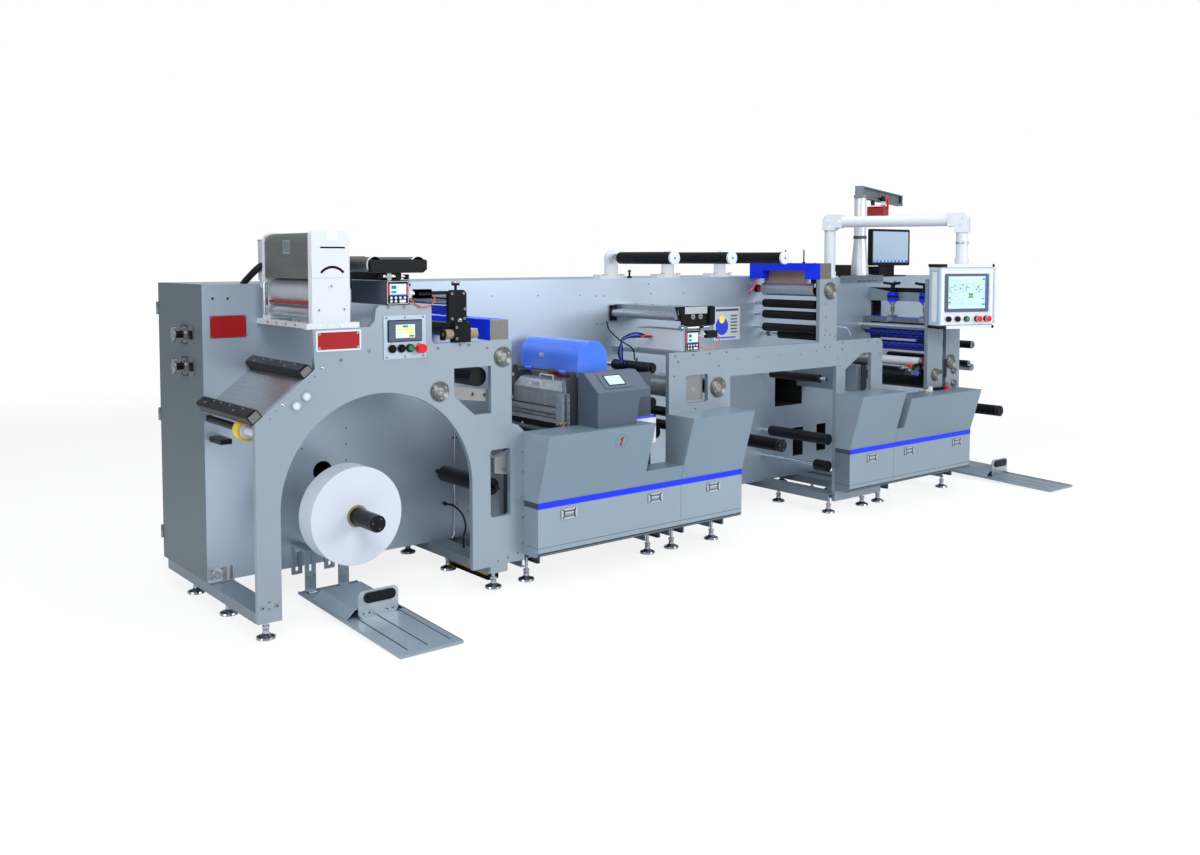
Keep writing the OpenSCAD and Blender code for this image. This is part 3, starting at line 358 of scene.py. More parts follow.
# The end door takes the darkened grey, with painted shade in it; its front edge keeps the wall grey
paint("end_door", "door",
      ("wall", lambda c, n: n.y < -0.8 and c.y < 2),
      ("steel", lambda c, n: -20 < c.x < -0.5 and c.y < 300),
      ("chrome", lambda c, n: c.x < -43), ("black", lambda c, n: -43 <= c.x < -20))
paint("levelling_feet", "chrome", ("alu", lambda c, n: c.z > 26))
# Dark faces in the treater's holes: painted shade
paint("treater_housing", "white",
      ("steel_dark", lambda c, n: -505 < c.y < -62 and abs(n.y) < 0.3),
      ("red", lambda c, n: -538 < c.y < -527 and 1470 < c.z < 1530 and abs(n.y) < 0.4),
      ("painted_shade_void", lambda c, n: -527 < c.y < -520 and 1460 < c.z < 1530),
      ("painted_shade_void", lambda c, n: -539.5 < c.y < -533 and 1586 < c.z < 1597))
paint("treater_rollers", "roller", ("satin", round_y(300, 1320, 26)), ("red", round_y(282, 1358, 6)))
SLOPE_Z, SLOPE_RISE = 894, 0.661


def over_slope(c):
    """Height over the splice table's sloping sheet."""
    return (c.z - SLOPE_Z) * math.cos(SLOPE_RISE) - c.x * math.sin(SLOPE_RISE)


paint("splice_table", "steel", ("black", lambda c, n: c.x < 300 and over_slope(c) >= 1))
paint("tape_dispenser", "tape", ("black", lambda c, n: math.hypot(c.x - 24, c.z - 850) < 17 or c.z < 780))
paint("web_cleaner_front", "black",
      ("alu", lambda c, n: n.y > 0.5 and c.y > -20),
      ("white", lambda c, n: -577 < c.y < -564),
      ("steel_dark", lambda c, n: -560 < c.y < -15 and c.z > 1486 and n.z < 0.99 and abs(n.y) < 0.5
       and any(near(c.x, x, 36) for x in FRONT_CLEANER)))
# The box's left face takes the dark bezel grey: painted shade
paint("guide_controllers", "silver",
      ("bezel", lambda c, n: n.x < -0.8 and c.x < 600),
      ("black", lambda c, n: n.y < -0.8))
paint("control_panel", "wall",
      ("bezel", lambda c, n: c.y < F - 4.5 and c.z > 1190),
      ("glass", lambda c, n: near(c.y, F - 10, 0.6) and c.z > 1200),
      ("plastic", lambda c, n: c.y < F - 4.5 and c.z < 1185 and c.x < 672),
      ("green", lambda c, n: c.y < F - 4.5 and c.z < 1185 and 672 < c.x < 715),
      ("cap_red", lambda c, n: c.y < F - 4.5 and c.z < 1185 and c.x > 715))
paint("bearing_caps", "grey_cap", ("white", lambda c, n: c.x < 240))
paint("nip_block", "black",
      ("chrome", round_y(942, 1361, 25)),
      ("blue", round_y(950, 1311, 21)),
      ("rubber", round_y(957, 1228, 30)),
      ("plastic", lambda c, n: c.z > 1407 or c.x < 806))
paint("blue_guide_frames", "blue",
      ("steel", lambda c, n: n.y < -0.9 and c.y < F + 10),
      ("brown", lambda c, n: c.x > 3000 and near(c.x, TOWER_X, 5) and c.z < 1500))
paint("unwind_rollers", "rubber",
      ("steel", lambda c, n: 885 < c.z < 980 and c.y < F + 42 and c.x > 895),
      ("steel", lambda c, n: 528 < c.z < 655 and c.x > 1149))
for node, x in (("table_slide_1", REELS["unwind"][0]), ("table_slide_2", REELS["rewind_b"][0])):
    paint(node, "alu",
          ("panel", lambda c, n: c.y > -582 and c.z < 95),
          ("rubber", lambda c, n, x=x: x - 74 < c.x < x + 77 and c.z > 88 and (
              abs(n.y) < 0.9 or c.y < -597 or (c.y > -580 and c.z > 96)) and c.z < 140))
paint("pedal_bar", "yellow", ("dark", lambda c, n: c.z > 61), ("plastic", lambda c, n: n.y < -0.9))
paint("print_unit", "dark",
      ("plate", lambda c, n: F - 1 < c.y < -511 and c.x < 1575 and c.z > 764),
      ("galv", lambda c, n: c.x < 1542 and c.y > -511 and 744 < c.z < 816 and n.x < -0.9),
      ("white", lambda c, n: c.y < -630))
paint("print_rollers", "chrome",
      ("sleeve", lambda c, n: 38 < math.hypot(c.x - SLEEVE_X, c.z - SLEEVE_Z) < 46),
      ("rubber", lambda c, n: c.x > 2100 and c.y < -190))
TRAY = low("ink_tray")


def on_handle(c, n):
    """Whether a face is above the tray's curved rim."""
    u = c.x - TRAY.x
    top = 898 + u * 40 / 43 if u < 43 else 944
    return c.z > top + 2 and -395 < c.y < -200


paint("ink_tray", "galv", ("silver", on_handle))
paint("console", "console")
# Left faces of the blue bands are dark grey: painted shade
paint("blue_bands", "blue", ("dark", lambda c, n: n.x < -0.8))
# Left faces of the upper covers take the lighter copy: painted light
paint("upper_covers", "cover", ("cover_side_painted_light", lambda c, n: n.x < -0.5))
# Left faces at the finishing end take the darker plate grey, the faces under the panels' foot dark grey:
# painted shade
paint("lower_panels", "panel",
      ("plate_dark", lambda c, n: n.x < -0.8 and c.x > D - 30),
      ("dark", lambda c, n: c.z < 176 and n.z < -0.2))
# Recessed faces of the handles are dark grey: painted shade
paint("cover_handles", "alu", ("dark", lambda c, n: near(c.y, COVER - 2, 0.7)))
paint("drying_rollers", "rubber",
      ("galv", lambda c, n: math.hypot(c.x - 2425, c.z - 849) < 64),
      ("chrome", round_y(BAR_X, BAR_Z, 12)),
      ("chrome", lambda c, n: near(c.x, D - 34, 15) and -440 < c.y < -1 and (
          near(c.z, 459, 14) or near(c.z, 296, 14))))
paint("web_cleaner_middle", "black",
      ("satin", round_y(CLEANER_2_X, CLEANER_2_Z, 24)),
      ("steel", lambda c, n: c.z > 1285 and c.y > F + 26),
      ("alu", lambda c, n: c.z > 1260 and c.y > F + 26 and n.x < -0.9))
paint("tower_rollers", "rubber", ("satin", round_y(TOWER_X, TOWER_Z, 40)),
      ("chrome", lambda c, n: c.y > -100),
      ("red", lambda c, n: near(c.y, -520, 30) and abs(n.y) < 0.5 and c.z > 1300))
paint("idler_brackets", "white", ("chrome", lambda c, n: -505 < c.y < -1 and c.z > 1500))
paint("finishing_rollers", "rubber",
      ("steel", lambda c, n: 1116 < c.z < 1163 and near(c.x, DIE_X, 60)),
      ("steel", lambda c, n: 1163 < c.z < 1256 and near(c.x, DIE_X, 30)),
      ("blue", lambda c, n: 1250 < c.z < 1318 and c.x < DIE_X + 26),
      ("plate", lambda c, n: c.x > DIE_X + 26 and 1255 < c.z < 1347 and c.x < DIE_X + 110),
      ("plastic", lambda c, n: 1318 < c.z and near(c.x, DIE_X, 60)),
      ("alu", round_y(DIE_X - 42, 1089, 18)),
      ("die", round_y(DIE_X, 1045, 38)), ("die", round_y(DIE_X, 961, 31)),
      ("white", round_y(DIE_X - 40, 861, 30)),
      ("plate", lambda c, n: D + 290 < c.x < D + 342 and c.z < 900),
      ("dark", lambda c, n: D + 342 < c.x < D + 402 and c.z < 900),
      ("steel_dark", round_y(D + 388, 905, 26)),
      ("chrome", lambda c, n: c.x > D + 1640 and c.z < 810),
      ("chrome", lambda c, n: c.x > D + 1590 and n.y < -0.9))
paint("pendant_post", "white", ("silver", lambda c, n: c.z < RIGHT_TOP + 12))
paint("pendant_arm", "white")
# The pendant box's glass side glows faintly: painted light
paint("pendant_box", "white", ("glass", lambda c, n: n.x < -0.5 and c.z < 1466))
paint("hoist_column", "silver", ("plate_dark", lambda c, n: c.z < RIGHT_TOP + 13),
      ("dark", lambda c, n: near(c.z, RIGHT_TOP + 276, 11) and abs(n.z) < 0.5))
paint("jib", "jib")
paint("hoist_trolley", "red", ("black", lambda c, n: c.z > 1929))
paint("monitor", "plastic", ("glass", lambda c, n: n.y < -0.9 and near(c.y, 83, 0.6)))
paint("computer_boxes", "plastic")


# Pieces in mesh code
OUT, BACK, LEFT, RIGHT = (0, -1, 0), (0, 1, 0), (-1, 0, 0), (1, 0, 0)
UP, DOWN = (0, 0, 1), (0, 0, -1)


def placed(place, angle, axis="Z"):
    """Matrix of a turned and moved local frame."""
    return Matrix.Translation(place) @ Matrix.Rotation(angle, 4, axis)


def around(n, first, r):
    """Points evenly spaced on a circle, from an angle in degrees."""
    angles = [math.radians(first + 360 * k / n) for k in range(n)]
    return [(r * math.cos(a), r * math.sin(a)) for a in angles]


def spline(points, steps=6):
    """Smooth curve through points."""
    pts = [Vector(p) for p in points]
    ends = [pts[0] * 2 - pts[1]] + pts + [pts[-1] * 2 - pts[-2]]
    out = []
    for a, b, c, d in zip(ends, ends[1:], ends[2:], ends[3:]):
        for k in range(steps):
            t = k / steps
            out.append(0.5 * (2 * b + (c - a) * t + (2 * a - 5 * b + 4 * c - d) * t * t
                              + (3 * b - a - 3 * c + d) * t ** 3))
    return out + [pts[-1]]


class Piece:
    """One mesh object of several closed forms, in machine millimetres."""

    def __init__(self, name, body="frame", at=None):
        self.name, self.body, self.at = name, body, at or Matrix()
        self.bm = bmesh.new()
        self.looks = []

    def add(self, verts, faces, look, bevel=0.0):
        if look not in self.looks:
            self.looks.append(look)
        vs = [self.bm.verts.new(P(*(self.at @ Vector(v)))) for v in verts]
        made = []
        for f in faces:
            face = self.bm.faces.new([vs[k] for k in f])
            face.material_index = self.looks.index(look)
            made.append(face)
        if bevel:
            edges = {e for f in made for e in f.edges if e.calc_face_angle(0) > 0.6}
            bmesh.ops.bevel(self.bm, geom=list(edges), offset=bevel / 1000, segments=2, affect="EDGES")
        return self

    def box(self, a, b, look, bevel=0.6):
        (x0, y0, z0), (x1, y1, z1) = a, b
        verts = [(x0, y0, z0), (x1, y0, z0), (x1, y1, z0), (x0, y1, z0),
                 (x0, y0, z1), (x1, y0, z1), (x1, y1, z1), (x0, y1, z1)]
        faces = [(0, 3, 2, 1), (4, 5, 6, 7), (0, 1, 5, 4), (1, 2, 6, 5), (2, 3, 7, 6), (3, 0, 4, 7)]
        return self.add(verts, faces, look, bevel)

    def prism(self, outline, plane, lo, hi, look, bevel=0.0):
        """Outline in plane xz, xy or yz, pushed out from lo to hi along the third axis."""
        def put(a, b, h):
            return {"xz": (a, h, b), "xy": (a, b, h), "yz": (h, a, b)}[plane]
        n = len(outline)
        verts = [put(a, b, lo) for a, b in outline] + [put(a, b, hi) for a, b in outline]
        faces = [tuple(range(n)), tuple(range(n, 2 * n))]
        faces += [(k, (k + 1) % n, n + (k + 1) % n, n + k) for k in range(n)]
        return self.add(verts, faces, look, bevel)

    def turn(self, origin, axis, profile, look, n=32):
        """Profile of (radius, height) pairs turned round an axis."""
        axis = Vector(axis).normalized()
        side = axis.orthogonal().normalized()
        other = axis.cross(side)
        verts, rings = [], []
        for r, h in profile:
            c = Vector(origin) + axis * h
            if r < 1e-6:
                rings.append([len(verts)])
                verts.append(c)
                continue
            rings.append(list(range(len(verts), len(verts) + n)))
            for k in range(n):
                t = 2 * math.pi * k / n
                verts.append(c + side * (r * math.cos(t)) + other * (r * math.sin(t)))
        faces = []
        for a, b in zip(rings, rings[1:]):
            for k in range(n):
                j = (k + 1) % n
                if len(a) == 1 and len(b) > 1:
                    faces.append((a[0], b[k], b[j]))
                elif len(b) == 1 and len(a) > 1:
                    faces.append((a[j], a[k], b[0]))
                elif len(a) > 1:
                    faces.append((a[k], b[k], b[j], a[j]))
        for ring in (rings[0], rings[-1]):
            if len(ring) > 1:
                faces.append(tuple(ring))
        return self.add(verts, faces, look)

    def rod(self, p, q, r, look, edge=1.0, n=32):
        """Round bar with broken edges."""
        p, q = Vector(p), Vector(q)
        h, e = (q - p).length, min(edge, r * 0.4)
        return self.turn(p, q - p, [(r - e, 0), (r, e), (r, h - e), (r - e, h)], look, n)

    def ring(self, p, q, r, inner, look, n=32):
        """Round bar with a bore."""
        p, q = Vector(p), Vector(q)
        h = (q - p).length
        e = min(0.8, (r - inner) * 0.3)
        prof = [(inner, 0), (r - e, 0), (r, e), (r, h - e), (r - e, h), (inner, h), (inner, 0)]
        axis = (q - p).normalized()
        side = axis.orthogonal().normalized()
        other = axis.cross(side)
        verts = [p + axis * b + side * (a * math.cos(2 * math.pi * k / n)) + other * (
            a * math.sin(2 * math.pi * k / n)) for a, b in prof[:-1] for k in range(n)]
        m = len(prof) - 1
        faces = [(i * n + k, (i + 1) % m * n + k, (i + 1) % m * n + (k + 1) % n, i * n + (k + 1) % n)
                 for i in range(m) for k in range(n)]
        return self.add(verts, faces, look)

    def tube(self, points, r, look, n=12, steps=6):
        """Round lead or hose along a smooth curve through points."""
        pts = spline(points, steps)
        verts = []
        side = None
        for i, p in enumerate(pts):
            t = (pts[min(i + 1, len(pts) - 1)] - pts[max(i - 1, 0)]).normalized()
            side = t.orthogonal() if side is None else side - t * side.dot(t)
            side.normalize()
            other = t.cross(side)
            verts += [p + side * (r * math.cos(2 * math.pi * k / n)) + other * (
                r * math.sin(2 * math.pi * k / n)) for k in range(n)]
        faces = [(i * n + k, i * n + (k + 1) % n, (i + 1) * n + (k + 1) % n, (i + 1) * n + k)
                 for i in range(len(pts) - 1) for k in range(n)]
        faces += [tuple(range(n)), tuple(range(len(verts) - n, len(verts)))]
        return self.add(verts, faces, look)

    def bolt(self, p, r=6.0, look="steel", axis=OUT, head=0.6):
        """Socket-head screw: a chamfered head with a flat dark hexagon in it, painted shade that stands for
        the socket.
        """
        h = r * head
        self.turn(p, axis, [(r * 0.96, 0), (r, h * 0.2), (r, h * 0.8), (r * 0.88, h)], look, 18)
        q = Vector(p) + Vector(axis).normalized() * h
        # The socket is a flat dark hexagon: painted shade, not a recess
        return self.turn(q, axis, [(r * 0.5, 0), (r * 0.5, 0.25)], "painted_shade_void", 6)

    def screws(self, spots, y, r=6.0, look="steel", head=0.6):
        for x, z in spots:
            self.bolt((x, y, z), r, look, head=head)
        return self

    def done(self, origin=None):
        """Makes the object, with its own origin where one is given, and lets it ride on its body."""
        bm = self.bm
        bmesh.ops.recalc_face_normals(bm, faces=bm.faces)
        for f in bm.faces:
            f.smooth = True
        for e in bm.edges:
            if e.calc_face_angle(0) > math.radians(32):
                e.smooth = False
        me = bpy.data.meshes.new(self.name)
        bm.to_mesh(me)
        bm.free()
        for look in self.looks:
            me.materials.append(M[look])
        o = bpy.data.objects.new(self.name, me)
        if origin:
            me.transform(Matrix.Translation(-P(*origin)))
            o.location = P(*origin)
        bpy.context.scene.collection.objects.link(o)
        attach(o, self.body)
        return o


def rounded(x0, z0, x1, z1, r, n=5):
    """Outline of a rectangle with round corners."""
    out = []
    corners = ((x1 - r, z1 - r, 0), (x0 + r, z1 - r, 90), (x0 + r, z0 + r, 180), (x1 - r, z0 + r, 270))
    for cx, cz, start in corners:
        out += [(cx + r * math.cos(math.radians(start + 90 * k / n)),
                 cz + r * math.sin(math.radians(start + 90 * k / n))) for k in range(n + 1)]
    return out


# End door and left wall
t = Piece("door_fittings", "door")
for z in (1066, 1208):
    t.box((-3, 108, z - 42), (-0.5, 176, z + 42), "steel", 1)
    t.box((-9, 118, z - 18), (-2.5, 150, z + 20), "plastic", 2)
    t.turn((-58, 215, z), LEFT, [(24, -10), (27, -6), (27, -2), (22, -0.3), (0, 0)], "chrome", 28)
    for dy in (-33, 33):
        for dz in (-33, 33):
            t.turn((-6, 215 + dy, z + dz), LEFT, [(4, 0), (4, 1), (2.5, 2), (0, 2.2)], "black", 12)
    # Dark strips above and below each latch plate and a dark dot: painted shade of the plate's recess
    for dz in (38, -41):
        t.box((-7.2, 178, z + dz), (-0.5, 252, z + dz + 3), "painted_shade_void", 0.4)
    t.rod((-14, 233, z + 14), (-15.5, 233, z + 14), 8, "painted_shade_void")
t.done()
front = low("end_door").y
t = Piece("door_edge", "door")
t.box((0.5, front - 0.7, 129), (25, front - 0.2, WALL_TOP - 1), "wall", 0.1)
t.done()
t = Piece("type_plate")
t.prism(rounded(33, 1199, 195, 1297, 6), "xz", -2, -0.2, "steel_dark")
t.prism(rounded(35, 1201, 193, 1295, 5), "xz", -2.6, -1.5, "red")
t.screws([(41, 1207), (187, 1207), (41, 1289), (187, 1289)], -2.4, 3.2)
t.done()
t = Piece("wall_screws")
t.screws([(447, 671), (669, 746), (668, 670), (667, 594), (2193, 1181), (2233, 1182), (2190, 1337),
          (2244, 1336), (2580, 1398), (2596, 1343), (2858, 1340), (1500, 1352), (1790, 1348), (2075, 1345),
          (1420, 1190), (1340, 640), (1340, 420), (1340, 250), (1290, 640), (2960, 640), (2960, 240)], 0, 4.6)
for x, z in ((47, 1373), (113, 1371)):
    t.ring((x, 0, z), (x, -1.2, z), 8, 5.5, "alu", 20)
    # Dark disc inside each ring: painted shade of its hole
    t.rod((x, 0, z), (x, -0.6, z), 5.4, "painted_shade_void", 0.1, 20)
t.done()
t = Piece("corner_bracket")
t.box((2, -4, 129), (112, -0.2, 199), "alu", 1)
t.box((2, -26, 129), (112, -4, 133), "alu", 1)
for x in (78, 106):
    t.box((x, -24, 133), (x + 4, -4, 190), "alu", 1)
t.ring((42, -4, 164), (42, -12, 164), 20, 12, "chrome")
t.screws([(16, 180), (66, 182), (16, 146)], -4, 5)
t.done()

# Red sign and unwind plate fittings
t = Piece("sign_plate")
t.prism(rounded(262, 1164, 465, 1251, 7), "xz", F - 4, F - 0.2, "white")
t.prism(rounded(270, 1172, 457, 1243, 4), "xz", F - 4.6, F - 3.5, "red")
t.screws([(277, 1178), (450, 1178), (277, 1237), (450, 1237)], F - 4.2, 5.5, "alu")
t.done()
t = Piece("unwind_plate_screws")
t.screws([(502, 1157), (373, 1126), (838, 1152), (952, 1160), (999, 1157), (1096, 1139), (594, 1340),
          (671, 1338), (745, 1336), (1238, 1010), (1232, 905), (1112, 640), (1215, 560)], F, 6.5)
t.screws([(65, 908), (89, 938), (231, 1044), (257, 1067)], F, 5, "plate", 0.3)
t.screws([(114, 956), (288, 1094)], F, 8, "alu", 0.3)
t.screws([(20, 150), (79, 150)], F, 8.5)
t.screws([(48, 170), (48, 142)], F, 5)
t.screws([(1150, 145), (1205, 152), (1262, 165), *((1290, z) for z in (210, 330, 430, 545, 640, 780))], F, 5)
for x, z in ((218, 986), (174, 951)):
    t.ring((x, F, z), (x, F - 4, z), 22, 18, "plate")
    t.ring((x, F - 8, z), (x, F - 8.8, z), 15, 13.4, "plate")
t.done()
SLOPE = placed((0, 0, SLOPE_Z), -math.radians(37.9), "Y")
t = Piece("splice_details", at=SLOPE)
for u0, u1, h in ((-12, 42, 46), (264, 318, 42)):
    for y in (-470, -400, -330, -230, -150, -80):
        t.bolt(((u0 + u1) / 2 + (9 if y % 20 else -9), y, h), 4, "alu", UP)
    t.box((u0 + 5, F - 1, 5), (u1 - 5, F + 1, h - 9), "steel_dark", 1)
t.done()
t = Piece("tape_core")
t.turn((24, -429, 850), OUT, [(16.5, -2), (34, 0), (36, 1.5), (34, 3), (12, 4), (11, 2.4), (0, 2.4)],
       "white", 40)
t.ring((24, -434, 850), (24, -533, 850), 18.5, 16.2, "white")
t.ring((24, -431, 850), (24, -432.4, 850), 46.2, 37, "tape", 48)
t.done()
# Bearing caps of the plates: X, Z, radius and number of screws
CAPS = ((845, 959, 45, 3), (1182, 1094, 46.5, 4), (2585, 849, 55, 4),
        (3520, 1353, 52, 4), (4601, 784, 42, 3), (4773, 859, 49, 3))
for k, (x, z, r, _) in enumerate(CAPS):
    # Each cap face carries the painted reflection, centred on the cap by its own origin
    t = Piece("bearing_face_%d" % (k + 1))
    t.ring((x, F - 10.8, z), (x, F - 11.5, z), 0.85 * r, 0.43 * r, "turned", 48)
    t.ring((x, F - 6.8, z), (x, F - 7.5, z), 0.98 * r, 0.865 * r, "turned", 48)
    t.done((x, F - 11, z))
t = Piece("bearing_cap_details")
for x, z, r, n in CAPS:
    hub = [(0.415 * r, 0), (0.415 * r, 1.6), (7, 2.4), (5, 1.2), (0, 1.2)]
    t.turn((x, F - 8, z), OUT, hub, "steel", 40)
    for u, v in around(n, 35, r):
        t.bolt((x + 0.66 * u, F - 11.4, z + 0.66 * v), 4.6, "alu")
        u, v = x + 0.93 * u, z + 0.93 * v
        # Dark notches at the rim: painted shade
        t.rod((u, F - 7.3, v), (u, F - 8.2, v), 3.4, "painted_shade_void", 0.2, 12)
t.done()

# Control panel
t = Piece("panel_screen")
t.box((625, F - 11, 1206), (717, F - 9.6, 1262), "screen", 0.3)
for a, b, c, d, look in ((630, 1250, 654, 1259, "ui_pale"), (658, 1250, 684, 1259, "ui_green"),
                         (688, 1250, 712, 1259, "ui_pale"), (630, 1236, 712, 1246, "ui_yellow"),
                         (630, 1222, 668, 1232, "ui_pale"), (672, 1222, 712, 1232, "ui_yellow"),
                         (630, 1209, 650, 1217, "ui_pale"), (690, 1209, 712, 1217, "ui_green")):
    t.box((a, F - 11.4, b), (c, F - 10.8, d), look, 0.15)
t.prism(rounded(588, 1188, 756, 1283, 5), "xz", F - 5.4, F - 3.6, "black")
t.done()
t = Piece("panel_buttons")
for x, look in ((609, "black"), (653, "black"), (694, "green")):
    t.ring((x, F - 4, 1160), (x, F - 13, 1160), 18, 12.5, "black")
    t.rod((x, F - 19, 1160), (x, F - 21, 1160), 10.5, look, 2)
t.turn((741, F - 4, 1157), OUT, [(22, 0), (22, 2), (20, 4)], "steel")
t.turn((741, F - 24, 1157), OUT, [(15, -3), (21, 4), (21, 12), (17, 15.5), (0, 16.5)], "cap_red")
t.screws([(583, 1124), (672, 1124), (762, 1124), (583, 1293), (672, 1293), (762, 1293)], F - 3.5, 4.5)
t.done()


def controller(name, x0, x1, z0, z1, y):
    """Face of a web guide controller: frame, display, red edges and two rows of keys."""
    t = Piece(name)
    w, h = x1 - x0, z1 - z0
    t.prism(rounded(x0 + 2, z0 + 2, x1 - 2, z1 - 2, 7), "xz", y - 3, y - 0.2, "alu")
    t.prism(rounded(x0 + 0.05 * w, z0 + 0.05 * h, x1 - 0.05 * w, z1 - 0.04 * h, 5), "xz", y - 4, y - 2,
            "plastic")
    for u0, u1, v0, v1, front, back, look in ((0.06, 0.13, 0.38, 0.86, 4.6, 3.5, "cap_red"),
                                              (0.87, 0.94, 0.38, 0.86, 4.6, 3.5, "cap_red"),
                                              (0.14, 0.86, 0.38, 0.87, 4.8, 3.5, "ui_pale"),
                                              (0.14, 0.86, 0.38, 0.43, 5.2, 4.6, "ui_blue"),
                                              (0.2, 0.42, 0.66, 0.8, 5.2, 4.6, "ui_dark"),
                                              (0.2, 0.42, 0.48, 0.58, 5.2, 4.6, "ui_green"),
                                              (0.5, 0.8, 0.48, 0.8, 5.2, 4.6, "screen")):
        t.box((x0 + u0 * w, y - front, z0 + v0 * h), (x0 + u1 * w, y - back, z0 + v1 * h), look,
              0.3 if back < 4 else 0.1)
    r = 0.056 * w
    for i, j in ((0, 0), (0, 1), (1, 0), (1, 1), (2, 0), (2, 1), (3, 1)):
        x, z = x0 + (0.2 + 0.2 * i) * w, z0 + (0.14 + 0.145 * j) * h
        if (i, j) == (2, 0):
            x += 0.1 * w
            t.prism(rounded(x - 2.6 * r, z - r, x + 2.6 * r, z + r, r * 0.9), "xz", y - 6, y - 3.5, "white")
        else:
            t.turn((x, y - 3.5, z), OUT, [(r, 0), (r, 1.5), (r * 0.7, 2.6), (0, 2.8)], "white", 16)
    t.done()


controller("guide_controller_face_1", 584, 692, 1349, 1451, -565)
controller("guide_controller_face_2", 2340, 2443, 1054, 1168, -560)


def edge_sensor(name, x, z, y, rod_end):
    """Edge sensor on a clamped rod, with the orange stub of its lead."""
    t = Piece(name)
    t.prism(rounded(x - 2, z - 20, x + 74, z + 20, 5), "xz", y - 36, y, "plastic")
    t.box((x + 8, y - 38, z - 6), (x + 66, y - 35, z + 6), "black", 0.5)
    t.rod((x + 80, y - 18, z), (x + 73, y - 18, z), 6, "orange")
    t.rod((x - 34, y - 18, z + 2), (x - 2, y - 18, z + 2), 10, "chrome", 2)
    t.box((x - 52, y - 34, z - 16), (x - 26, y - 4, z + 20), "alu", 2)
    t.rod((x - 38, y - 18, z + 20), (x - 38, y - 18, z + 36), 5, "steel_dark")
    knob = [(8, 0), (16, 3), (16, 10), (11, 13), (0, 13.5)]
    t.turn((x - 38, y - 18, z + 34), UP, knob, "plastic", 12)
    t.rod((x - 60, y - 18, z - 6), (x - 50, y - 18, z - 6), 13, "chrome", 2)
    t.rod((x + 74, y - 20, z + 6), (rod_end, y - 20, z + 6), 5, "black")
    t.done()


edge_sensor("edge_sensor_1", 732, 1392, -530, 897)
t = Piece("sensor_lead_1")
t.tube([(808, -548, 1392), (822, -562, 1376), (812, -566, 1352), (786, -566, 1336), (752, -566, 1336),
        (720, -566, 1352), (694, -560, 1376)], 2.6, "orange")
t.done()

# Treater
t = Piece("treater_fittings")
t.screws([(343, 1433), (288, 1335), (400, 1336)], -540, 8, "white", 0.35)
for y in range(-500, -40, 95):
    for x in (262, 425):
        t.bolt((x, y, 1281), 6.5, axis=UP)
    t.bolt((245, y, 1270), 5, axis=LEFT)
# White label glows faintly: painted light
t.box((329, -541.4, 1620), (372, -539.8, 1657), "screen", 0.3)
for z in (1476, 1640):
    for y in (-490, -75):
        t.bolt((259, y, z), 4, axis=LEFT)
t.box((257.4, -330, 1566), (259.2, -262, 1624), "alu", 0.4)
t.box((257, -324, 1572), (258, -268, 1618), "plate_dark", 0.3)
t.rod((259, -62, 1440), (259, -62, 1300), 11, "chrome", 2)
t.ring((300, -500, 1320), (300, -515, 1320), 32, 12, "chrome")
t.ring((330, -500, 1405), (330, -508, 1405), 58, 20, "chrome")
t.done()
t = Piece("treater_hose")
t.tube([(266, -40, 1516), (250, -34, 1511), (234, -10, 1490), (224, 30, 1464), (222, 70, 1445),
        (222, 100, 1428)], 15, "rubber", 20)
t.done()
t = Piece("treater_duct")
prof = []
for k in range(44):
    prof += [(30, 4 * k), (34, 4 * k + 2)]
t.turn((284, -12, 1450), UP, prof, "silver", 28)
t.tube([(284, -12, 1452), (284, 0, 1436), (284, 24, 1424)], 24, "silver", 20)
t.box((258, -40, 1622), (310, 16, 1630), "alu", 1)
t.done()

# Front web cleaner
t = Piece("front_cleaner_caps")
for x in FRONT_CLEANER:
    t.turn((x, -575, 1520), BACK, [(34, 0), (35, 1), (35, 9), (33, 10)], "white")
    t.ring((x, -562, 1520), (x, -552, 1520), 35, 30, "chrome")
for x in (510, 748):
    t.bolt((x, -600, 1495), 4, "black")
t.box((592, -560, 1453), (612, -500, 1486), "chrome", 2)
t.box((636, -556, 1458), (662, -520, 1484), "black", 2)
t.rod((560, -548, 1470), (700, -548, 1470), 7, "chrome")
for x in (566, 690):
    t.rod((x, -548, 1478), (x, -548, 1456), 12, "black", 2)
t.done()

# Nip block
t = Piece("nip_fittings")
t.screws([(912, 1390), (912, 1278), (972, 1390), (975, 1278), (978, 1320)], -560, 6)
t.screws([(926, 1240), (926, 1190)], -575, 6)
t.turn((938, -548, 1436), UP, [(4, -28), (4, 0), (19, 1), (20, 4), (18, 8), (0, 9)], "alu", 24)
t.rod((872, -552, 1210), (916, -552, 1210), 21, "kraft", 2)
t.rod((1000, -552, 1206), (1044, -552, 1206), 20, "kraft", 2)
t.ring((866, -552, 1210), (874, -552, 1210), 24, 12, "black")
t.turn((950, -560, 1270), UP, [(14, -6), (14, 4), (8, 9), (0, 9)], "chrome", 20)
t.done()

# Guide frames
t = Piece("guide_frame_details")
for x0, x1, y, z0, z1 in ((1117, 1218, -555, 1172, 1267), (3427, 3528, -561, 1421, 1517)):
    t.box((x0 + 3, y - 1.2, z0 + 4), (x1 - 3, y + 0.5, z1 - 4), "steel_dark", 0.5)
    for yy in (-480, -290, -60):
        t.bolt(((x0 + x1) / 2, yy, z1), 4, "blue", UP)
for y in (-500, -60):
    t.turn((1167, y, 1172), DOWN, [(16, 0), (16, 26), (12, 30)], "black", 20)
t.box((3440, -520, 1396), (3480, -480, 1424), "black", 2)
t.rod((3460, -500, 1398), (3460, -500, 1372), 9, "chrome")
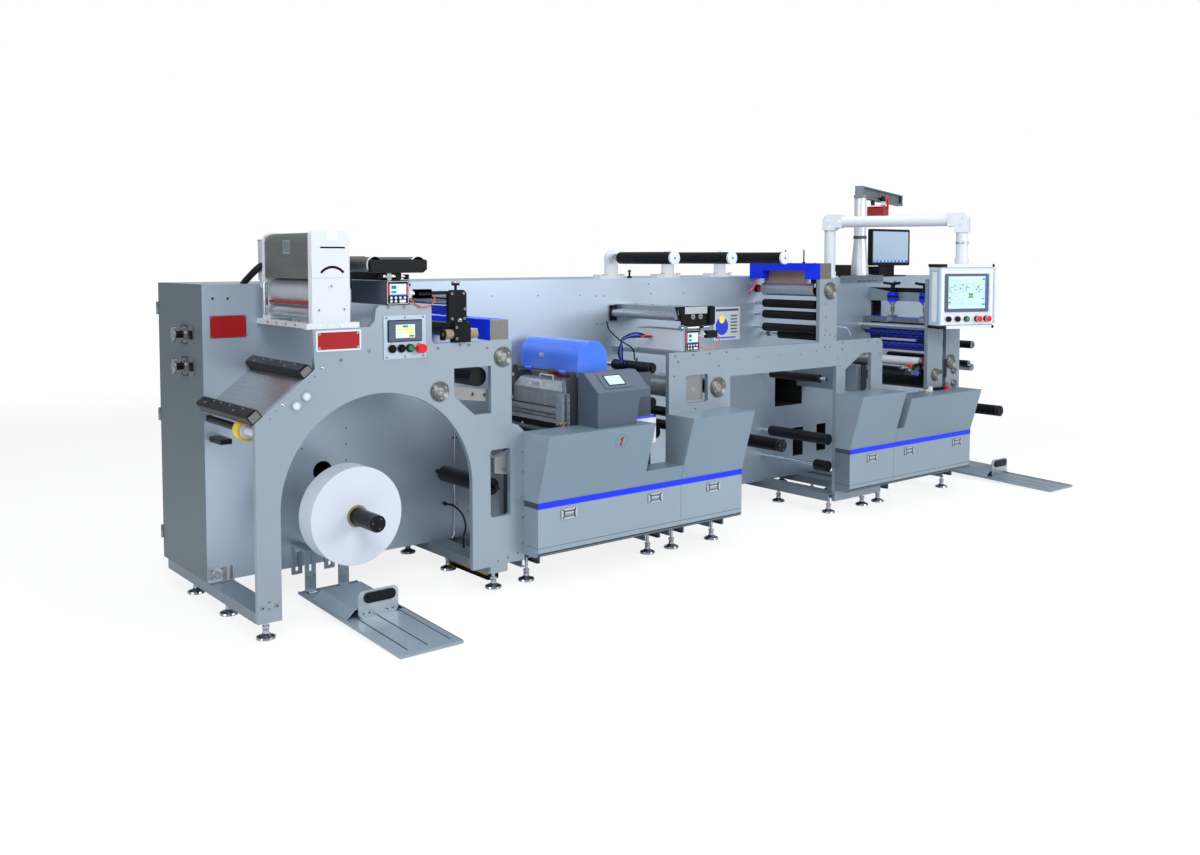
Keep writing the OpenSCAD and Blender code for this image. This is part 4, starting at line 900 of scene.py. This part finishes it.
# The blue lead glows faintly: painted light
t.tube([(3446, -30, 1424), (3430, -34, 1392), (3400, -40, 1352), (3372, -40, 1326)], 6, "ui_blue")
t.tube([(3440, -44, 1424), (3420, -58, 1396), (3392, -64, 1362), (3362, -64, 1340)], 6.5, "orange")
t.done()


# Reels
def shaft_strips(name, body, back):
    """Rubber strips and front face of a reel's shaft."""
    x, z = REELS[body]
    t = Piece(name, body)
    for k in range(6):
        t.at = placed((x, 0, z), -math.radians(60 * k + 20), "Y")
        t.prism(rounded(-5, SHAFT_FRONT + 22, 5, back, 4, 3), "xy", SHAFT_R - 1, SHAFT_R + 0.7, "plastic")
    t.at = Matrix.Translation((x, 0, z))
    face = [(SHAFT_R - 6, -0.4), (SHAFT_R - 7, 0.6), (9, 0.6), (8, -1), (0, -1)]
    t.turn((0, SHAFT_FRONT + 1, 0), OUT, face, "dark")
    t.ring((0, SHAFT_FRONT + 14, 0), (0, SHAFT_FRONT + 18, 0), SHAFT_R + 0.6, SHAFT_R - 4, "dark")
    for u, v in around(3, 50, SHAFT_R - 13):
        t.bolt((u, SHAFT_FRONT, v), 3)
    t.done()


shaft_strips("unwind_shaft_details", "unwind", -120)
shaft_strips("rewind_1_shaft_details", "rewind_a", -100)
shaft_strips("rewind_2_shaft_details", "rewind_b", -100)
t = Piece("paper_core", "unwind")
t.ring((520, -401.4, 420), (520, -276.6, 420), 49, 38.2, "kraft", 48)
t.done()
t = Piece("hub_details")
for x, z in REELS.values():
    for u, v in around(4, 45, 56):
        t.bolt((x + u, -14, z + v), 5)
t.done()


# Roll tables
def table_kit(n, x, lift, slide):
    """Hinge blocks, edge strips and slots of a roll table, and the grip of its slide."""
    place = placed((x - 158, -125, 48), math.radians(2.087), "X")
    t = Piece("table_%d_fittings" % n, lift, Matrix.Translation((x - 158, 0, 0)))
    for u in (49, 211):
        t.box((u - 20, -172, 42), (u + 20, -144, 54), "alu", 1.5)
        t.rod((u - 20, -175, 49), (u + 20, -175, 49), 6, "alu")
        for du in (-14, 14):
            t.bolt((u + du, -155, 120), 4)
    t.at = place
    for u0, u1, v in ((0.5, 3.4, -2), (282.6, 285.5, -2), (3.4, 282.6, -927)):
        t.box((u0, -932, -1), (u1, v, 3.2), "plate", 0.8)
    # Slots are dark strips under the sheet: painted shade
    for u in (58, 148, 254):
        t.box((u - 3.6, -880, -9), (u + 3.6, -72, -7), "painted_shade_void", 0.3)
    t.done()
    t = Piece("slide_%d_fittings" % n, slide, place)
    for u in (84, 110, 196, 222):
        t.bolt((u, -466, 18), 5)
    t.prism(rounded(97, 70, 222, 96, 12), "xz", -473, -467, "rubber")
    t.done()


table_kit(1, REELS["unwind"][0], "table_a", "slide_a")
table_kit(2, REELS["rewind_b"][0], "table_b", "slide_b")

# Pedal bar
t = Piece("pedal_details")
t.box((1213, -380, 4), (1273, -374, 58), "plastic", 2)
t.box((1211.4, -375, 2), (1213.2, -35, 22), "plastic", 0.4)
t.done()
t = Piece("pedal_lead")
t.tube([(1201, -20, 313), (1222, -60, 306), (1240, -110, 270), (1228, -160, 220), (1196, -190, 180),
        (1188, -205, 130), (1204, -215, 96), (1222, -220, 64)], 5, "rubber")
t.rod((1201, 2, 313), (1201, -22, 313), 9, "black")
t.done()
t = Piece("wall_conduit")
t.tube([(1264, -6, 679), (1262, -6, 500), (1262, -6, 300), (1258, -6, 196), (1252, -14, 150),
        (1230, -26, 132)], 6, "alu")
for z in (640, 470, 300):
    t.box((1250, -10, z - 5), (1276, -0.5, z + 5), "steel", 1)
t.done()

# Print unit
t = Piece("print_unit_fittings")
for z in (752, 792, 872):
    t.bolt((1549, -520, z), 5)
for x in (1534, 1564):
    for z in (744, 766, 800, 850, 880):
        t.bolt((x, -560, z), 4)
for x in (1520, 1552):
    t.turn((x, -552, 748), OUT, [(8, 0), (8, 7), (5, 11), (0, 11)], "copper", 16)
t.box((1516, -552, 736), (1574, -530, 742), "copper", 1)
t.rod((1536, -512, 790), (1536, -104, 790), 6, "steel_dark")
t.rod((1538, -512, 754), (1538, -104, 754), 4, "steel")
for y in (-470, -150):
    t.bolt((1540, y, 800), 5, axis=LEFT)
t.box((1541, -500, 716), (1566, -110, 740), "black", 2)
t.rod((1560, -500, 700), (1560, -110, 700), 16, "steel")
t.tube([(1532, -540, 738), (1500, -556, 716), (1470, -560, 692)], 3, "alu")
t.done()
t = Piece("notch_panel_trim")
# Blue trim glows faintly: painted light
for x0, z0, x1, look in ((1914, 616, 1926, "ui_blue"), (1914, 745, 2055, "ui_blue"),
                         (2043, 616, 2055, "white")):
    t.box((x0, -647, z0), (x1, -639, 757), look, 1)
t.done()
# Pale rims on both ends of the hood: painted highlight
t = Piece("hood_rim_highlight", "hood")
HOOD_R, HOOD_Z = 90, 1048
arc = [(HOOD_R * -math.cos(a), HOOD_R * math.sin(a)) for a in (math.radians(15 * k) for k in range(13))]
arc = [(-HOOD_R, -50), *arc, (HOOD_R, -50)]
for y in (-542, -66):
    t.tube([(SLEEVE_X + u, y, HOOD_Z + v) for u, v in arc], 2, "hood_rim_highlight", 8, 2)
t.done()
t = Piece("hood_latch", "hood")
# The latch block glows faintly: painted light
t.box((1634, -262, 1048), (1640, -222, 1066), "glass", 1)
for y in (-256, -228):
    t.rod((1638, y, 1056), (1631, y, 1056), 4, "steel")
t.done()
t = Piece("hood_hinges")
for y in (-500, -120):
    t.rod((1812, y - 16, 996), (1812, y + 16, 996), 7, "steel")
t.done()

# Console display
t = Piece("console_display", at=placed((1766, -662, 950.9), math.atan2(87, 110), "X"))
t.prism(rounded(-86, -52, 86, 52, 5), "xy", -0.5, 3, "console")
t.prism(rounded(-83, -49, 83, 49, 4), "xy", 2.8, 3.8, "bezel")
t.prism(rounded(-56, -36, 56, 36, 3), "xy", 3.5, 5, "black")
t.box((-49, -30, 4.6), (49, 30, 5.8), "lcd", 0.3)
t.box((-44, 19, 5.6), (44, 26, 6.1), "ui_pale", 0.1)
for u in (-34, -8, 18):
    t.box((u, -22, 5.6), (u + 16, 10, 6.1), "ui_pale", 0.1)
t.done()
LEAN, RISE, FOOT = 95, 326, 410
NUMBER_Z = 666
spot = (1744, -670 - LEAN * (NUMBER_Z - FOOT) / RISE, NUMBER_Z)
t = Piece("cover_number", at=placed(spot, math.atan2(LEAN, RISE), "X"))
t.ring((0, 0, 0), (0, -0.9, 0), 36, 34.6, "bezel", 48)
t.turn((0, 0.3, 0), OUT, [(34.8, 0), (34.8, 0.6)], "cover", 40)
t.prism([(-8, -22), (3, -22), (10, 22), (1, 22), (-11, 13), (-10, 5), (0, 10)], "xz", -1.4, -0.1, "red")
t.done()

# Handles on the covers
t = Piece("handle_screws")
for x in (1481, 2030, 2444, 3797, 4172, 4694):
    for dx in (-36, 36):
        for z in (323, 359):
            t.bolt((x + dx, COVER - 4.6, z), 4, "black")
    t.box((x - 26, COVER - 3.2, 328), (x + 26, COVER - 1.8, 354), "panel", 0.5)
    # Dark strip on top, bright silver strip in the middle, darker strip below: painted shadow, highlight and
    # shade of each handle
    for z, look in ((351, "bezel"), (344, "silver"), (330, "plate_dark")):
        t.box((x - 26, COVER - 5.4, z), (x + 26, COVER - 1.9, z + 2.6), look, 0.3)
t.done()
t = Piece("lower_panel_seams")
for x0, x1 in ((1302, 2204), (2208, 2658), (3588, 4080), (4084, 4846)):
    t.box((x0, COVER - 0.8, 163), (x1, COVER + 0.6, 166), "plate_dark", 0.4)
t.done()

# Drying plate, second cleaner, the second edge sensor with its lead, and cable loops
t = Piece("drying_details")
t.screws([(2270, 1036), (2400, 1036), (2520, 1036), (2650, 1036), (2262, 930), (2262, 700), (2590, 965),
          (2416, 748), (2640, 700), (2290, 1005)], F, 6)
t.screws([(2740, 995), (2900, 995), (3080, 998), (3260, 990), (3400, 1000)], F, 4)
t.done()
t = Piece("cleaner_2_details")
for x in (2396, 2451):
    t.rod((x, F, 1238), (x, F - 3, 1238), 15, "steel", 1)
    t.bolt((x, F - 2.6, 1238), 6)
for x, x1 in ((2296, 2330), (2514, 2548)):
    t.box((x, F - 13, 1196), (x1, F - 11.6, 1288), "black", 0.5)
for y0, y1, r in ((-558, -572, 27), (-4, -16, 31)):
    t.rod((CLEANER_2_X, y0, CLEANER_2_Z), (CLEANER_2_X, y1, CLEANER_2_Z), r, "black", 2)
t.box((2286, -14, 1196), (2330, -0.5, 1284), "black", 2)
t.box((2325, -574, 1254), (2488, -571, 1291), "alu", 1)
for y in (-520, -380, -240, -100):
    t.bolt((2396, y, 1290), 4, "black", UP)
for x in (2330, 2450):
    t.box((x, -556, 1176), (x + 34, -520, 1190), "chrome", 2)
    t.rod((x + 17, -540, 1178), (x + 17, -540, 1166), 8, "steel")
t.rod((2320, -548, 1180), (2520, -548, 1180), 8, "chrome")
t.done()
t = Piece("drying_window_plate")
t.box((2358, -534, 788), (2494, -508, 926), "steel", 3)
t.screws([(2374, 908), (2374, 846), (2374, 806)], -534, 4)
t.done()
edge_sensor("edge_sensor_2", 2500, 1140, -530, 2578)
t = Piece("sensor_lead_2")
t.tube([(2576, -548, 1140), (2592, -562, 1120), (2584, -566, 1088), (2550, -566, 1066), (2500, -566, 1062),
        (2446, -560, 1072)], 2.6, "orange")
t.done()
t = Piece("cable_loops")
# The blue cable glows faintly: painted light
for k, (look, dx) in enumerate((("rubber", 0), ("ui_blue", 10), ("rubber", 22))):
    t.tube([(2330, -300, 1118), (2240 - dx, -306, 1124 + dx), (2140 - dx, -310, 1120),
            (2092 + dx, -314, 1070), (2096 + dx, -314, 1020 - dx), (2150, -310, 990 - dx),
            (2210, -304, 980 - dx / 2), (2232, -300, 1010)], 4.5, look, 10)
t.tube([(2330, -312, 1124), (2290, -312, 1130), (2250, -310, 1124)], 5, "orange", 10)
t.tube([(2250, -20, 1196), (2236, -60, 1150), (2226, -160, 1100), (2216, -280, 1060), (2214, -300, 1000)],
       4, "rubber", 10)
t.done()

# Tower and idlers
t = Piece("tower_shaft_details")
t.ring((TOWER_X, -70, TOWER_Z), (TOWER_X, -24, TOWER_Z), 19, 14, "cap_red")
t.ring((TOWER_X, -24, TOWER_Z), (TOWER_X, -1, TOWER_Z), 24, 14, "plastic")
patch = ((-4, 41), (35, 41), (35, 67), (0.5, 67), (0.5, 104), (-4, 104))
t.prism([(TOWER_X + u, TOWER_Z + v) for u, v in patch], "xz", -392, -69, "brown", 0.8)
t.done()
t = Piece("bar_sleeve")
t.ring((BAR_X, -486, BAR_Z), (BAR_X, -98, BAR_Z), 25, 12.3, "rubber")
t.done()
t = Piece("tower_details")
t.screws([(3480, 1277), (3486, 1200), (3482, 1126), (3478, 1093), (3524, 1091), (3566, 1083), (3480, 1022),
          (3526, 1020)], F, 5)
for z in (1120, 1200, 1268):
    t.rod((TOWER_X, -98, z), (TOWER_X, -2, z), 9, "chrome")
    t.ring((TOWER_X, -60, z), (TOWER_X, -48, z), 14, 8, "alu")
    t.turn((TOWER_X, -542, z), OUT, [(9, 0), (9, 16)], "steel", 16)
t.rod((3545, -98, 1075), (3545, -2, 1075), 12, "chrome")
t.ring((3545, -70, 1075), (3545, -50, 1075), 18, 10, "steel_dark")
for y in (-96, -524):
    t.ring((TOWER_X, y, TOWER_Z), (TOWER_X, y + 26, TOWER_Z), 26, 14, "red")
t.done()
for k, x in enumerate(IDLERS):
    t = Piece("idler_bracket_details_%d" % (k + 1))
    end_face = [(34, -0.4), (30, 0.8), (11, 0.8), (10, -0.3), (0, -0.3)]
    t.turn((x, -517, IDLER_Z), OUT, end_face, "white")
    t.bolt((x, -517, IDLER_Z), 6)
    for dx in (-74, -50, 50, 74):
        t.bolt((x + dx, -18, 1455), 6, axis=UP)
    t.done()

# Finishing frame
t = Piece("finishing_plate_screws")
t.screws([(3646, 1040), (3888, 1040), (3978, 1028), (3893, 816), (3621, 900), (3646, 830), (3640, 1000),
          (4010, 960), (4012, 850)], F, 5)
for z in (180, 300, 420, 540, 700, 950):
    t.bolt((3598, F, z), 3.4)
for x in (4530, 4664, 4738, 4862):
    for z in (1330, 1230, 700):
        t.bolt((x, F, z), 4.5)
t.done()


def wheel(t, x, y, z, r, look):
    """Cap with a rim and four screws."""
    prof = [(r, 0), (r, 10), (r - 3, 13), (r * 0.6, 13), (r * 0.55, 10), (0, 10)]
    t.turn((x, y, z), OUT, prof, look, 36)
    for u, v in around(4, 30, r * 0.78):
        t.bolt((x + u, y - 13, z + v), 3.5, "black")


t = Piece("post_caps")
wheel(t, 4806, F - 1, 797, 22, "steel")
wheel(t, 4809, F - 1, 714, 24, "steel")
t.turn((4717, F - 14, 707), OUT, [(14, -2), (14, 2), (6, 4), (0, 4)], "steel")
# Dark slots: painted shade
t.box((4702, F - 3, 640), (4728, F - 0.5, 690), "painted_shade_void", 1)
t.box((4704, F - 2, 760), (4730, F - 0.5, 880), "painted_shade_void", 1)
t.done()
t = Piece("pressure_screw_details")
for y in (-474, -220):
    for u, v in around(3, 20, 56):
        t.rod((DIE_X, y, 1374), (DIE_X + u, y + v, 1380), 7, "plastic", 3, 16)
        t.turn((DIE_X + u, y + v, 1371), UP, [(8, 0), (12, 4), (12, 12), (8, 17), (0, 18)], "plastic", 16)
    t.turn((DIE_X, y, 1318), UP, [(20, 0), (20, 14), (13, 20), (12, 46)], "black", 24)
    t.turn((DIE_X, y, 1254), DOWN, [(30, 0), (22, 12), (13, 20), (13, 40), (7, 44), (7, 70)],
           "chrome", 24)
    t.ring((DIE_X, y, 1280), (DIE_X, y, 1296), 38, 30, "plastic")
    t.rod((DIE_X + 20, y - 22, 1286), (DIE_X + 44, y - 30, 1286), 12, "steel")
    t.box((DIE_X - 34, y - 20, 1122), (DIE_X + 4, y + 22, 1152), "chrome", 2)
t.done()
t = Piece("finishing_details")
# Blue strip and blue knob glow faintly: painted light
t.box((4570, -486, 1146), (4640, -30, 1150), "ui_blue", 0.6)
t.rod((DIE_X - 40, -502, 861), (DIE_X - 40, -478, 861), 33, "steel", 2)
t.rod((DIE_X - 40, -512, 861), (DIE_X - 40, -500, 861), 16, "cap_red", 2)
for x, y, z, r, look in ((4450, -500, 836, 20, "plastic"), (4486, -504, 792, 15, "ui_blue"),
                         (4415, -494, 820, 14, "steel"), (4526, -508, 816, 17, "black")):
    t.turn((x, y, z), OUT, [(r * 0.6, -24), (r, -18), (r, 0), (r * 0.7, 6), (0, 7)], look, 20)
t.rod((4330, -484, 842), (4500, -484, 842), 13, "alu")
t.rod((4360, -500, 852), (4440, -500, 852), 5, "cap_red")
t.box((4424, -500, 786), (4532, -452, 846), "bezel", 4)
for x in (4396, 4470, 4510):
    t.box((x, -508, 838), (x + 18, -490, 858), "plastic" if x > 4400 else "cap_red", 2)
for y in (-470, -380, -290, -200, -110):
    t.bolt((3958, y, 885), 5, axis=UP)
t.box((3884, -482, 730), (3922, -480, 872), "alu", 1)
t.box((3934, -483, 730), (3982, -480, 872), "bezel", 1)
t.done()
t = Piece("cover_top_knobs")
for k in range(7):
    x = 4540 + 24 * k
    t.rod((x, -566, 683), (x, -566, 699), 7, "chrome" if k % 3 == 2 else "black", 1.5, 14)
t.rod((4446, -606, 683), (4446, -606, 694), 11, "alu", 2)
t.rod((4428, -566, 683), (4428, -566, 690), 8, "copper", 2)
for x, look, h in ((4508, "white", 30), (4560, "black", 20), (4600, "black", 20), (4640, "black", 20),
                   (4690, "cap_red", 22), (4470, "yellow", 12)):
    t.turn((x, -590, 684), UP, [(16, 0), (16, h * 0.5), (11, h * 0.7), (14, h * 0.8), (12, h), (0, h)],
           look, 20)
t.done()
t = Piece("side_roller_tips")
t.ring((5217, -442, 942), (5217, -446, 942), 25, 12, "chrome")
t.bolt((5217, -441, 942), 8)
t.bolt((5200, -431, 812), 7)
t.rod((5268, -411, 778), (5268, -418, 778), 15, "chrome", 2)
t.done()

# Operator's pendant
BOX_X, BOX_Y = 4637, -718.9
AT_BOX = placed((BOX_X, BOX_Y, 0), math.radians(-22))
t = Piece("pendant_face", "pendant_box", AT_BOX)
# White face plate glows faintly: painted light
t.prism(rounded(-183, 1202, 168, 1466, 4), "xz", -62, -59.5, "screen")
t.prism(rounded(-165, 1204, 160, 1448, 8), "xz", -68, -60.5, "bezel")
t.prism(rounded(-148, 1220, 143, 1436, 4), "xz", -69.2, -67, "ui_dark")
t.box((-142, -70, 1226), (130, -68.6, 1430), "ui_back", 0.3)
t.box((-142, -70.3, 1414), (130, -69.6, 1430), "ui_pale", 0.1)
for k in range(7):
    u, v = -136 + 38 * k, 1262 + 22 * (k % 3)
    t.box((u, -70.4, v), (u + 22, -69.7, v + 12), "screen", 0.1)
for u, v in ((-116, 1346), (4, 1344), (98, 1362)):
    t.ring((u, -69.6, v), (u, -70.7, v), 17, 14.6, "ui_dark", 24)
t.box((-142, -70.4, 1226), (130, -69.6, 1242), "ui_pale", 0.1)
t.box((132, -70, 1226), (139, -68.8, 1430), "ui_blue", 0.2)
for look, marks in (("ui_yellow", ((-60, 1412, 22, 9), (8, 1392, 20, 14), (68, 1390, 22, 14))),
                    ("ui_dark", ((-40, 1372, 9, 8), (-100, 1368, 8, 7), (-96, 1340, 9, 9), (-58, 1350, 8, 8),
                                 (-12, 1360, 8, 8), (72, 1360, 8, 8), (62, 1344, 8, 8), (80, 1330, 8, 8))),
                    ("ui_green", ((8, 1292, 32, 30),)),
                    ("ui_yellow", ((8, 1302, 32, 8),)),
                    ("ui_green", ((110, 1408, 18, 10), (110, 1284, 12, 8), (108, 1246, 20, 10),
                                  (-140, 1260, 18, 10), (-138, 1290, 12, 8))),
                    ("ui_yellow", ((-60, 1296, 8, 8), (66, 1296, 8, 8))),
                    ("ui_pale", ((-120, 1330, 36, 26), (-6, 1324, 34, 26), (88, 1350, 28, 30),
                                 (-20, 1282, 24, 30), (50, 1282, 30, 26)))):
    for u, v, w, h in marks:
        t.box((u, -70.6, v), (u + w, -69.8, v + h), look, 0.1)
t.done()
t = Piece("pendant_trim", "pendant_box", AT_BOX)
for z0, z1 in ((1096, 1116), (1489, 1509)):
    for u0, u1, v0, v1 in ((-203, -150, -64.5, 64.5), (188, 203, -64.5, -40), (188, 203, 40, 64.5)):
        t.box((u0, v0, z0), (u1, v1, z1), "black", 5)
for u in (-138, -71, -4):
    t.ring((u, -63, 1159), (u, -80, 1159), 17.5, 14.5, "black")
    t.rod((u, -76, 1159), (u, -82, 1159), 14.8, "green" if u == -4 else "black", 2)
for u in (75, 143):
    t.turn((u, -63, 1159), OUT, [(19, 0), (19, 14), (16, 20)], "plastic")
    t.turn((u, -88, 1159), OUT, [(14, -4), (20, 3), (20.5, 11), (17, 14), (0, 15)], "cap_red")
for z in (1120, 1485):
    t.box((-194, -64.4, z - 2), (190, -62.6, z + 2), "plate_dark", 0.4)
# White side strip glows faintly: painted light
t.box((-200, -30, 1140), (-198.8, 22, 1458), "screen", 0.3)
for z in (1128, 1480):
    t.rod((251.5, 0, z - 6), (251.5, 0, z + 6), 13, "white", 2)
t.rod((251.5, 0, 1140), (251.5, 0, 1466), 10.5, "white", 3)
t.done()
POST = (low("pendant_post") + high("pendant_post")) / 2
REACH = Vector((BOX_X - POST.x, BOX_Y - POST.y))
ARM_R = 37
ARM_Z = high("pendant_arm").z - ARM_R
AT_ARM = placed((POST.x, POST.y, 0), math.atan2(REACH.y, REACH.x))
t = Piece("pendant_couplings", "pendant_arm", AT_ARM)
wide, long = ARM_R + 6.6, ARM_R + 50
for end, side, foot in ((0, 1, 59), (REACH.length, -1, 84)):
    outline = [(-wide, -foot), (-wide, ARM_R - 30), (-wide + 36, wide), (long, wide), (long, -wide),
               (wide + 10, -wide), (wide, -wide - 8), (wide, -foot)]
    t.prism([(end + side * u, ARM_Z + v) for u, v in outline], "xz", -wide, wide, "white", 2.5)
    for u, v in ((long - 16, 0), (4, -34), (-6, 6)):
        for y in (-1, 1):
            t.turn((end + side * u, y * wide, ARM_Z + v), (0, y, 0), [(8, -0.3), (7, 1), (0, 1)], "alu", 16)
t.ring((REACH.length, 0, 1640), (REACH.length, 0, 1650), ARM_R + 5, ARM_R - 0.5, "alu")
t.done()

# Hoist
JIB_X, JIB_Y, FLANGE_R = 4652, 100, 80.6
t = Piece("hoist_screws")
for x in (4512, 4567, 4623, 4679):
    t.bolt((x, -8, 1394), 11, head=0.7)
for x in (4340, 4400, 4460):
    t.bolt((x, -8, 1412), 6)
for u, v in around(6, 15, FLANGE_R):
    t.bolt((JIB_X + u, JIB_Y + v, RIGHT_TOP + 12), 8, axis=UP)
t.done()
AT_JIB = placed((JIB_X, JIB_Y, 0), math.radians(24.5))
t = Piece("jib_details", "jib", AT_JIB)
for u in (-30, 60, 1240, 1300):
    for v in (-16, 16):
        t.turn((u, v, 1974), UP, [(8, 0), (8, 6), (5, 8), (0, 8)], "steel", 6)
t.box((1326, -12, 1980), (1330, 12, 2036), "black", 2)
t.done()
t = Piece("trolley_details", "hoist", AT_JIB @ Matrix.Translation((560, 0, 0)))
for s in (-1, 1):
    t.turn((0, s * 48, 1972), (0, s, 0), [(26, -0.4), (22, 1), (10, 1), (9, 4), (0, 4)], "black", 28)
    for u in (-76, 76):
        for z in (1856, 1914):
            t.bolt((u, s * 60, z), 5, axis=(0, s, 0))
    t.box((-84, s * 60 - 1, 1884), (20, s * 60 + 1, 1888), "steel_dark", 0.4)
cheek = [(26, 1915), (58, 1915), (66, 1950), (66, 1996), (54, 2010), (36, 2010), (24, 1990)]
t.prism(cheek, "xz", -68, -57, "cap_red", 2)
t.box((-66, -54, 1936), (10, -34, 1964), "white", 3)
t.box((-92, -50, 1926), (98, 50, 1933), "alu", 1)
t.turn((86, -18, 1886), RIGHT, [(34, 0), (34, 22), (26, 26), (26, 42), (18, 46), (0, 46)], "red", 28)
t.ring((112, -18, 1886), (118, -18, 1886), 35, 24, "steel_dark", 28)
t.turn((98, 20, 1872), RIGHT, [(16, 0), (16, 24), (12, 27), (0, 27)], "black", 20)
t.box((90, -52, 1846), (120, -30, 1860), "white", 2)
t.done()

# Operator's screen and computer
t = Piece("computer_details")
t.box((4776, 79.4, 1517), (5188, 83.6, 1735), "glass", 0.5)
t.box((4780, 78.6, 1518), (5184, 80, 1530), "ui_blue", 0.3)
for k in range(9):
    t.box((4792 + 42 * k, 78, 1520), (4812 + 42 * k, 79, 1528), "ui_pale", 0.2)
t.box((4790, 78, 1436), (4846, 80, 1476), "bezel", 1)
t.turn((4800, 78, 1448), OUT, [(8, 0), (8, 3), (5, 4.5), (0, 5)], "cap_red", 16)
# Dark grille bars glow faintly: painted light
for z in (1440, 1452, 1464, 1476):
    t.box((4366, 78, z), (4424, 80, z + 5), "ui_dark", 0.5)
t.turn((4490, 78, 1452), OUT, [(6, 0), (6, 2), (0, 3)], "steel", 12)
t.done()

# Notice board, louvre, aerials and rear doors
# The notice's printed marks glow faintly: painted light
t = Piece("notice_board")
t.box((3111, -3.4, 1044), (3338, -0.2, 1247), "white", 1)
t.turn((3180, -3.2, 1130), OUT, [(54, 0), (54, 0.8)], "ui_blue", 40)
t.turn((3180, -3.8, 1172), OUT, [(24, 0), (24, 0.7)], "ui_yellow", 24)
for k in range(6):
    t.box((3256, -4, 1188 - 20 * k), (3312, -3.1, 1196 - 20 * k), "ui_dark", 0.2)
t.box((3126, -4, 1222), (3326, -3.1, 1236), "ui_dark", 0.2)
t.box((3126, -4, 1056), (3300, -3.1, 1064), "ui_blue", 0.2)
t.done()
t = Piece("louvre_frame")
for a, b in (((4648, -2, 980), (4654, 0, 1268)), ((4767, -2, 980), (4773, 0, 1268)),
             ((4648, -2, 1262), (4773, 0, 1268)), ((4648, -2, 979), (4773, 0, 985))):
    t.box(a, b, "wall", 0.5)
# Dark sheet behind the louvre: painted shade
t.box((4656, 54, 986), (4765, 58, 1260), "painted_shade_void", 0.5)
t.done()
t = Piece("aerials")
for y in (-249, -394):
    t.rod((3477, y, 1517), (3477, y, 1526), 9, "black", 2)
    t.rod((3477, y, 1524), (3477, y, 1597), 4, "plastic", 2, 16)
t.turn((2452, 20, WALL_TOP), UP, [(14, 0), (14, 8), (6, 14), (6, 34), (10, 38), (8, 46), (0, 47)],
       "plastic", 20)
t.done()
t = Piece("thin_lead")
t.tube([(3900, -30, 1092), (3935, -150, 1104), (3985, -290, 1106), (4028, -298, 1088), (4052, -300, 1046)],
       2.6, "white", 10)
t.tube([(2700, -555, 1052), (2716, -552, 968), (2740, -548, 950), (2760, -545, 978)], 3, "alu", 10)
t.done()
t = Piece("rear_door_details")
for x0, x1 in ((85, 740), (760, 1460), (1480, 2180), (2260, 2900), (2920, 3560), (3640, 4287), (4307, 4967),
               (4987, 5660)):
    hi = (WALL_TOP if x1 < 3600 else RIGHT_TOP) - 40
    for k in range(7):
        for z in (hi - 160 + 14 * k, hi - 1040 + 14 * k):
            t.prism([(REAR, z), (REAR + 5.5, z + 2), (REAR, z + 9)], "yz", x0 + 110, x1 - 110, "wall")
    for z in (260, hi - 120):
        t.rod((x0 + 4, 582, z - 30), (x0 + 4, 582, z + 30), 6, "steel")
    t.turn((x1 - 49, 587, 846), BACK, [(9, -0.5), (9, 3), (7, 4), (0, 4)], "chrome", 20)
    t.box((x1 - 54, 586, 772), (x1 - 44, 589, 830), "black", 1)
t.done()


# Floor, world and lamps
def stage_floor():
    """White floor that keeps the shadow and fades out to the background."""
    me = bpy.data.meshes.new("floor")
    s = 60
    me.from_pydata([(-s, -s, 0), (s, -s, 0), (s, s, 0), (-s, s, 0)], [], [(0, 1, 2, 3)])
    o = bpy.data.objects.new("floor", me)
    bpy.context.scene.collection.objects.link(o)
    m = bpy.data.materials.new("floor")
    g = Graph(m)
    base = g.add("BsdfDiffuse", (0.80, 0.81, 0.82, 1))
    glow = g.add("Emission", Strength=1.05)
    reach = g.add("VectorMath", g.coords())
    reach.operation = "LENGTH"
    span = g.add("MapRange", reach.outputs["Value"], From_Min=6.5, From_Max=11.0, To_Min=0.8, To_Max=1.0)
    part = g.add("Math", g.add("LightPath").outputs["Is Camera Ray"], span.outputs[0])
    part.operation = "MULTIPLY"
    mix = g.add("MixShader", part.outputs[0], base.outputs[0], glow.outputs[0])
    g.add("OutputMaterial", mix.outputs[0])
    me.materials.append(m)


def stage_world(strength):
    """Pale sky light; the camera sees plain white."""
    w = bpy.data.worlds.new("studio")
    bpy.context.scene.world = w
    g = Graph(w)
    sky = g.add("Background", (0.93, 0.97, 1.0, 1), strength)
    seen = g.add("Background", (1, 1, 1, 1), 1.0)
    mix = g.add("MixShader", g.add("LightPath").outputs["Is Camera Ray"], sky.outputs[0], seen.outputs[0])
    g.add("OutputWorld", mix.outputs[0])


def lamp(name, place, target, size, power):
    """Rectangular lamp aimed at a target; places in the frame's metres."""
    d = bpy.data.lights.new(name, "AREA")
    d.shape = "RECTANGLE"
    d.size, d.size_y = size
    d.energy = power
    o = bpy.data.objects.new(name, d)
    bpy.context.scene.collection.objects.link(o)
    o.location = place
    o.rotation_euler = (Vector(target) - Vector(place)).to_track_quat("-Z", "Y").to_euler()


stage_floor()
stage_world(0.42)
lamp("key", (-1.5, -5.0, 5.5), (2.6, 0.3, 0.7), (5, 3), 290)
lamp("front", (5.5, -6.0, 3.2), (3.2, 0.3, 0.8), (5, 3), 260)
lamp("top", (2.8, 0.0, 5.0), (2.8, 0.3, 0.0), (8, 3), 170)
lamp("left", (-5.5, -1.0, 2.6), (0.0, 0.2, 0.9), (3, 3), 110)
